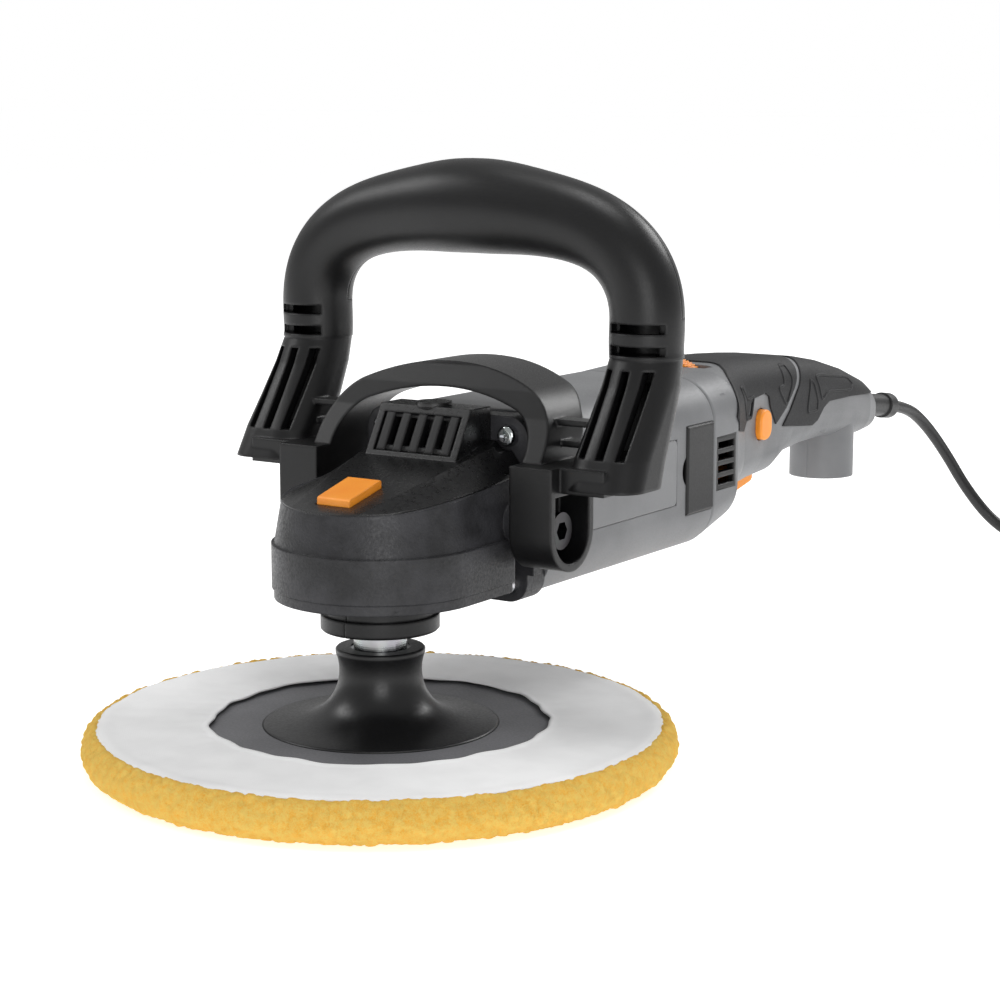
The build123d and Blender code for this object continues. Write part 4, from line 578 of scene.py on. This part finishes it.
def leaveCoil(lastPoint):
    # part of a turn that lifts from the innermost top turn over the outer ones
    centreX, centreY = cordShape["coilCentre"]
    begin = math.degrees(math.atan2(lastPoint[1] - centreY, lastPoint[0] - centreX))
    sweep = (begin - cordShape["leaveAngle"]) % 360
    steps = max(3, int(sweep / cordShape["leaveStep"]))
    share = np.linspace(0, 1, steps + 1)[1:]
    angle = np.radians(begin - sweep * share)
    radius = cordShape["innerTurn"] + (cordShape["leaveRadius"] - cordShape["innerTurn"]) * share
    height = cordShape["layers"][-1] + cordShape["leaveLift"] * np.clip(share * cordShape["leaveHurry"], 0, 1)
    return np.stack([centreX + radius * np.cos(angle), centreY + radius * np.sin(angle), height], axis=1)


def makeCord():
    # one smooth spline that hangs from the strain relief, lies on the floor, winds the coil and ends in
    # the plug
    turns = coilPoints()
    points = np.concatenate([cordShape["route"], turns, leaveCoil(turns[-1]), cordShape["lead"]]) * mm
    curve = bpy.data.curves.new("mainsCord", "CURVE")
    curve.dimensions = "3D"
    spline = curve.splines.new("NURBS")
    spline.points.add(len(points) - 1)
    spline.points.foreach_set("co", np.column_stack([points, np.ones(len(points))]).ravel())
    spline.order_u = 3
    spline.use_endpoint_u = True
    spline.resolution_u = 8
    curve.bevel_depth = cordShape["diameter"] / 2 * mm
    curve.bevel_resolution = 4
    curve.use_fill_caps = True
    piece = bpy.data.objects.new("mainsCord", curve)
    bpy.context.scene.collection.objects.link(piece)
    curve.materials.append(materials["pvcBlack"])
    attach(piece, "tool")
    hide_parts("cord", "cord_coil")
    length = float(np.sum(np.linalg.norm(np.diff(points, axis=0), axis=1)))
    print("cord made, runs add up to", round(length, 3))


makeCord()


# Camera: place in metres, heading left of +Y and tilt down in degrees, lens in millimetres
cameraPlace = {"position": (0.4544, -0.6155, 0.2192), "heading": 33.43, "down": 9.71, "lens": 84.0}


def makeCamera():
    data = bpy.data.cameras.new("camera")
    data.lens = cameraPlace["lens"]
    data.sensor_width = 36
    data.clip_start = 0.01
    camera = bpy.data.objects.new("camera", data)
    camera.location = cameraPlace["position"]
    camera.rotation_euler = (math.radians(90 - cameraPlace["down"]), 0, math.radians(cameraPlace["heading"]))
    bpy.context.scene.collection.objects.link(camera)
    bpy.context.scene.camera = camera


lampAim = Vector((0, 0.12, 0.08))
roomLight = {"onObject": 0.46, "wall": 1.0}
lamps = {
    # name: (position and size in m, power in W, colour)
    "key": ((-1.5, -0.5, 1.4), 0.8, 9, "#FFFFFF"),
    "fill": ((1.2, -1.5, 0.45), 1.0, 9, "#FFFFFF"),
    "back": ((0.5, 1.7, 1.3), 0.8, 14, "#FFFFFF"),
    "top": ((0.0, 0.2, 1.9), 0.7, 8, "#FFFFFF"),
}


def makeLights():
    for name, (position, size, power, colour) in lamps.items():
        data = bpy.data.lights.new(name, "AREA")
        data.energy = power
        data.size = size
        data.color = linearColour(colour)[:3]
        lamp = bpy.data.objects.new(name, data)
        lamp.location = position
        lamp.rotation_euler = (lampAim - Vector(position)).to_track_quat("-Z", "Y").to_euler()
        bpy.context.scene.collection.objects.link(lamp)
    world = bpy.data.worlds.new("studio")
    world.use_nodes = True
    tree = world.node_tree
    tree.nodes.clear()
    # soft room light, and a plain white studio wall behind
    ray = addNode(tree, "ShaderNodeLightPath")
    power = addNode(tree, "ShaderNodeMapRange", inputs={
        "Value": (ray, "Is Camera Ray"), "To Min": roomLight["onObject"], "To Max": roomLight["wall"]})
    sky = addNode(tree, "ShaderNodeBackground", inputs={"Color": white, "Strength": (power, "Result")})
    addNode(tree, "ShaderNodeOutputWorld", inputs={"Surface": (sky, "Background")})
    bpy.context.scene.world = world


# Floor: half its side and its gap under the object in metres, and the glow that keeps it as pale as the wall
floorLook = {"halfSide": 40.0, "gap": 0.0002, "colour": "#E8E8E8", "roughness": 0.8, "glow": 0.62}


def makeFloor():
    size = floorLook["halfSide"]
    mesh = bpy.data.meshes.new("floor")
    corners = np.array([(-size, -size, 0), (size, -size, 0), (size, size, 0), (-size, size, 0)])
    mesh.from_pydata(corners, [], [(0, 1, 2, 3)])
    floor = bpy.data.objects.new("floor", mesh)
    floor.location.z = -floorLook["gap"]
    bpy.context.scene.collection.objects.link(floor)
    material, tree, _ = newMaterial("paleFloor")
    closeMaterial(tree, {"Base Color": linearColour(floorLook["colour"]), "Roughness": floorLook["roughness"],
                         "Emission Color": white, "Emission Strength": floorLook["glow"]})
    mesh.materials.append(material)


makeCamera()
makeLights()
makeFloor()
bpy.context.scene.view_settings.view_transform = "Standard"
print("camera, lights and floor set")
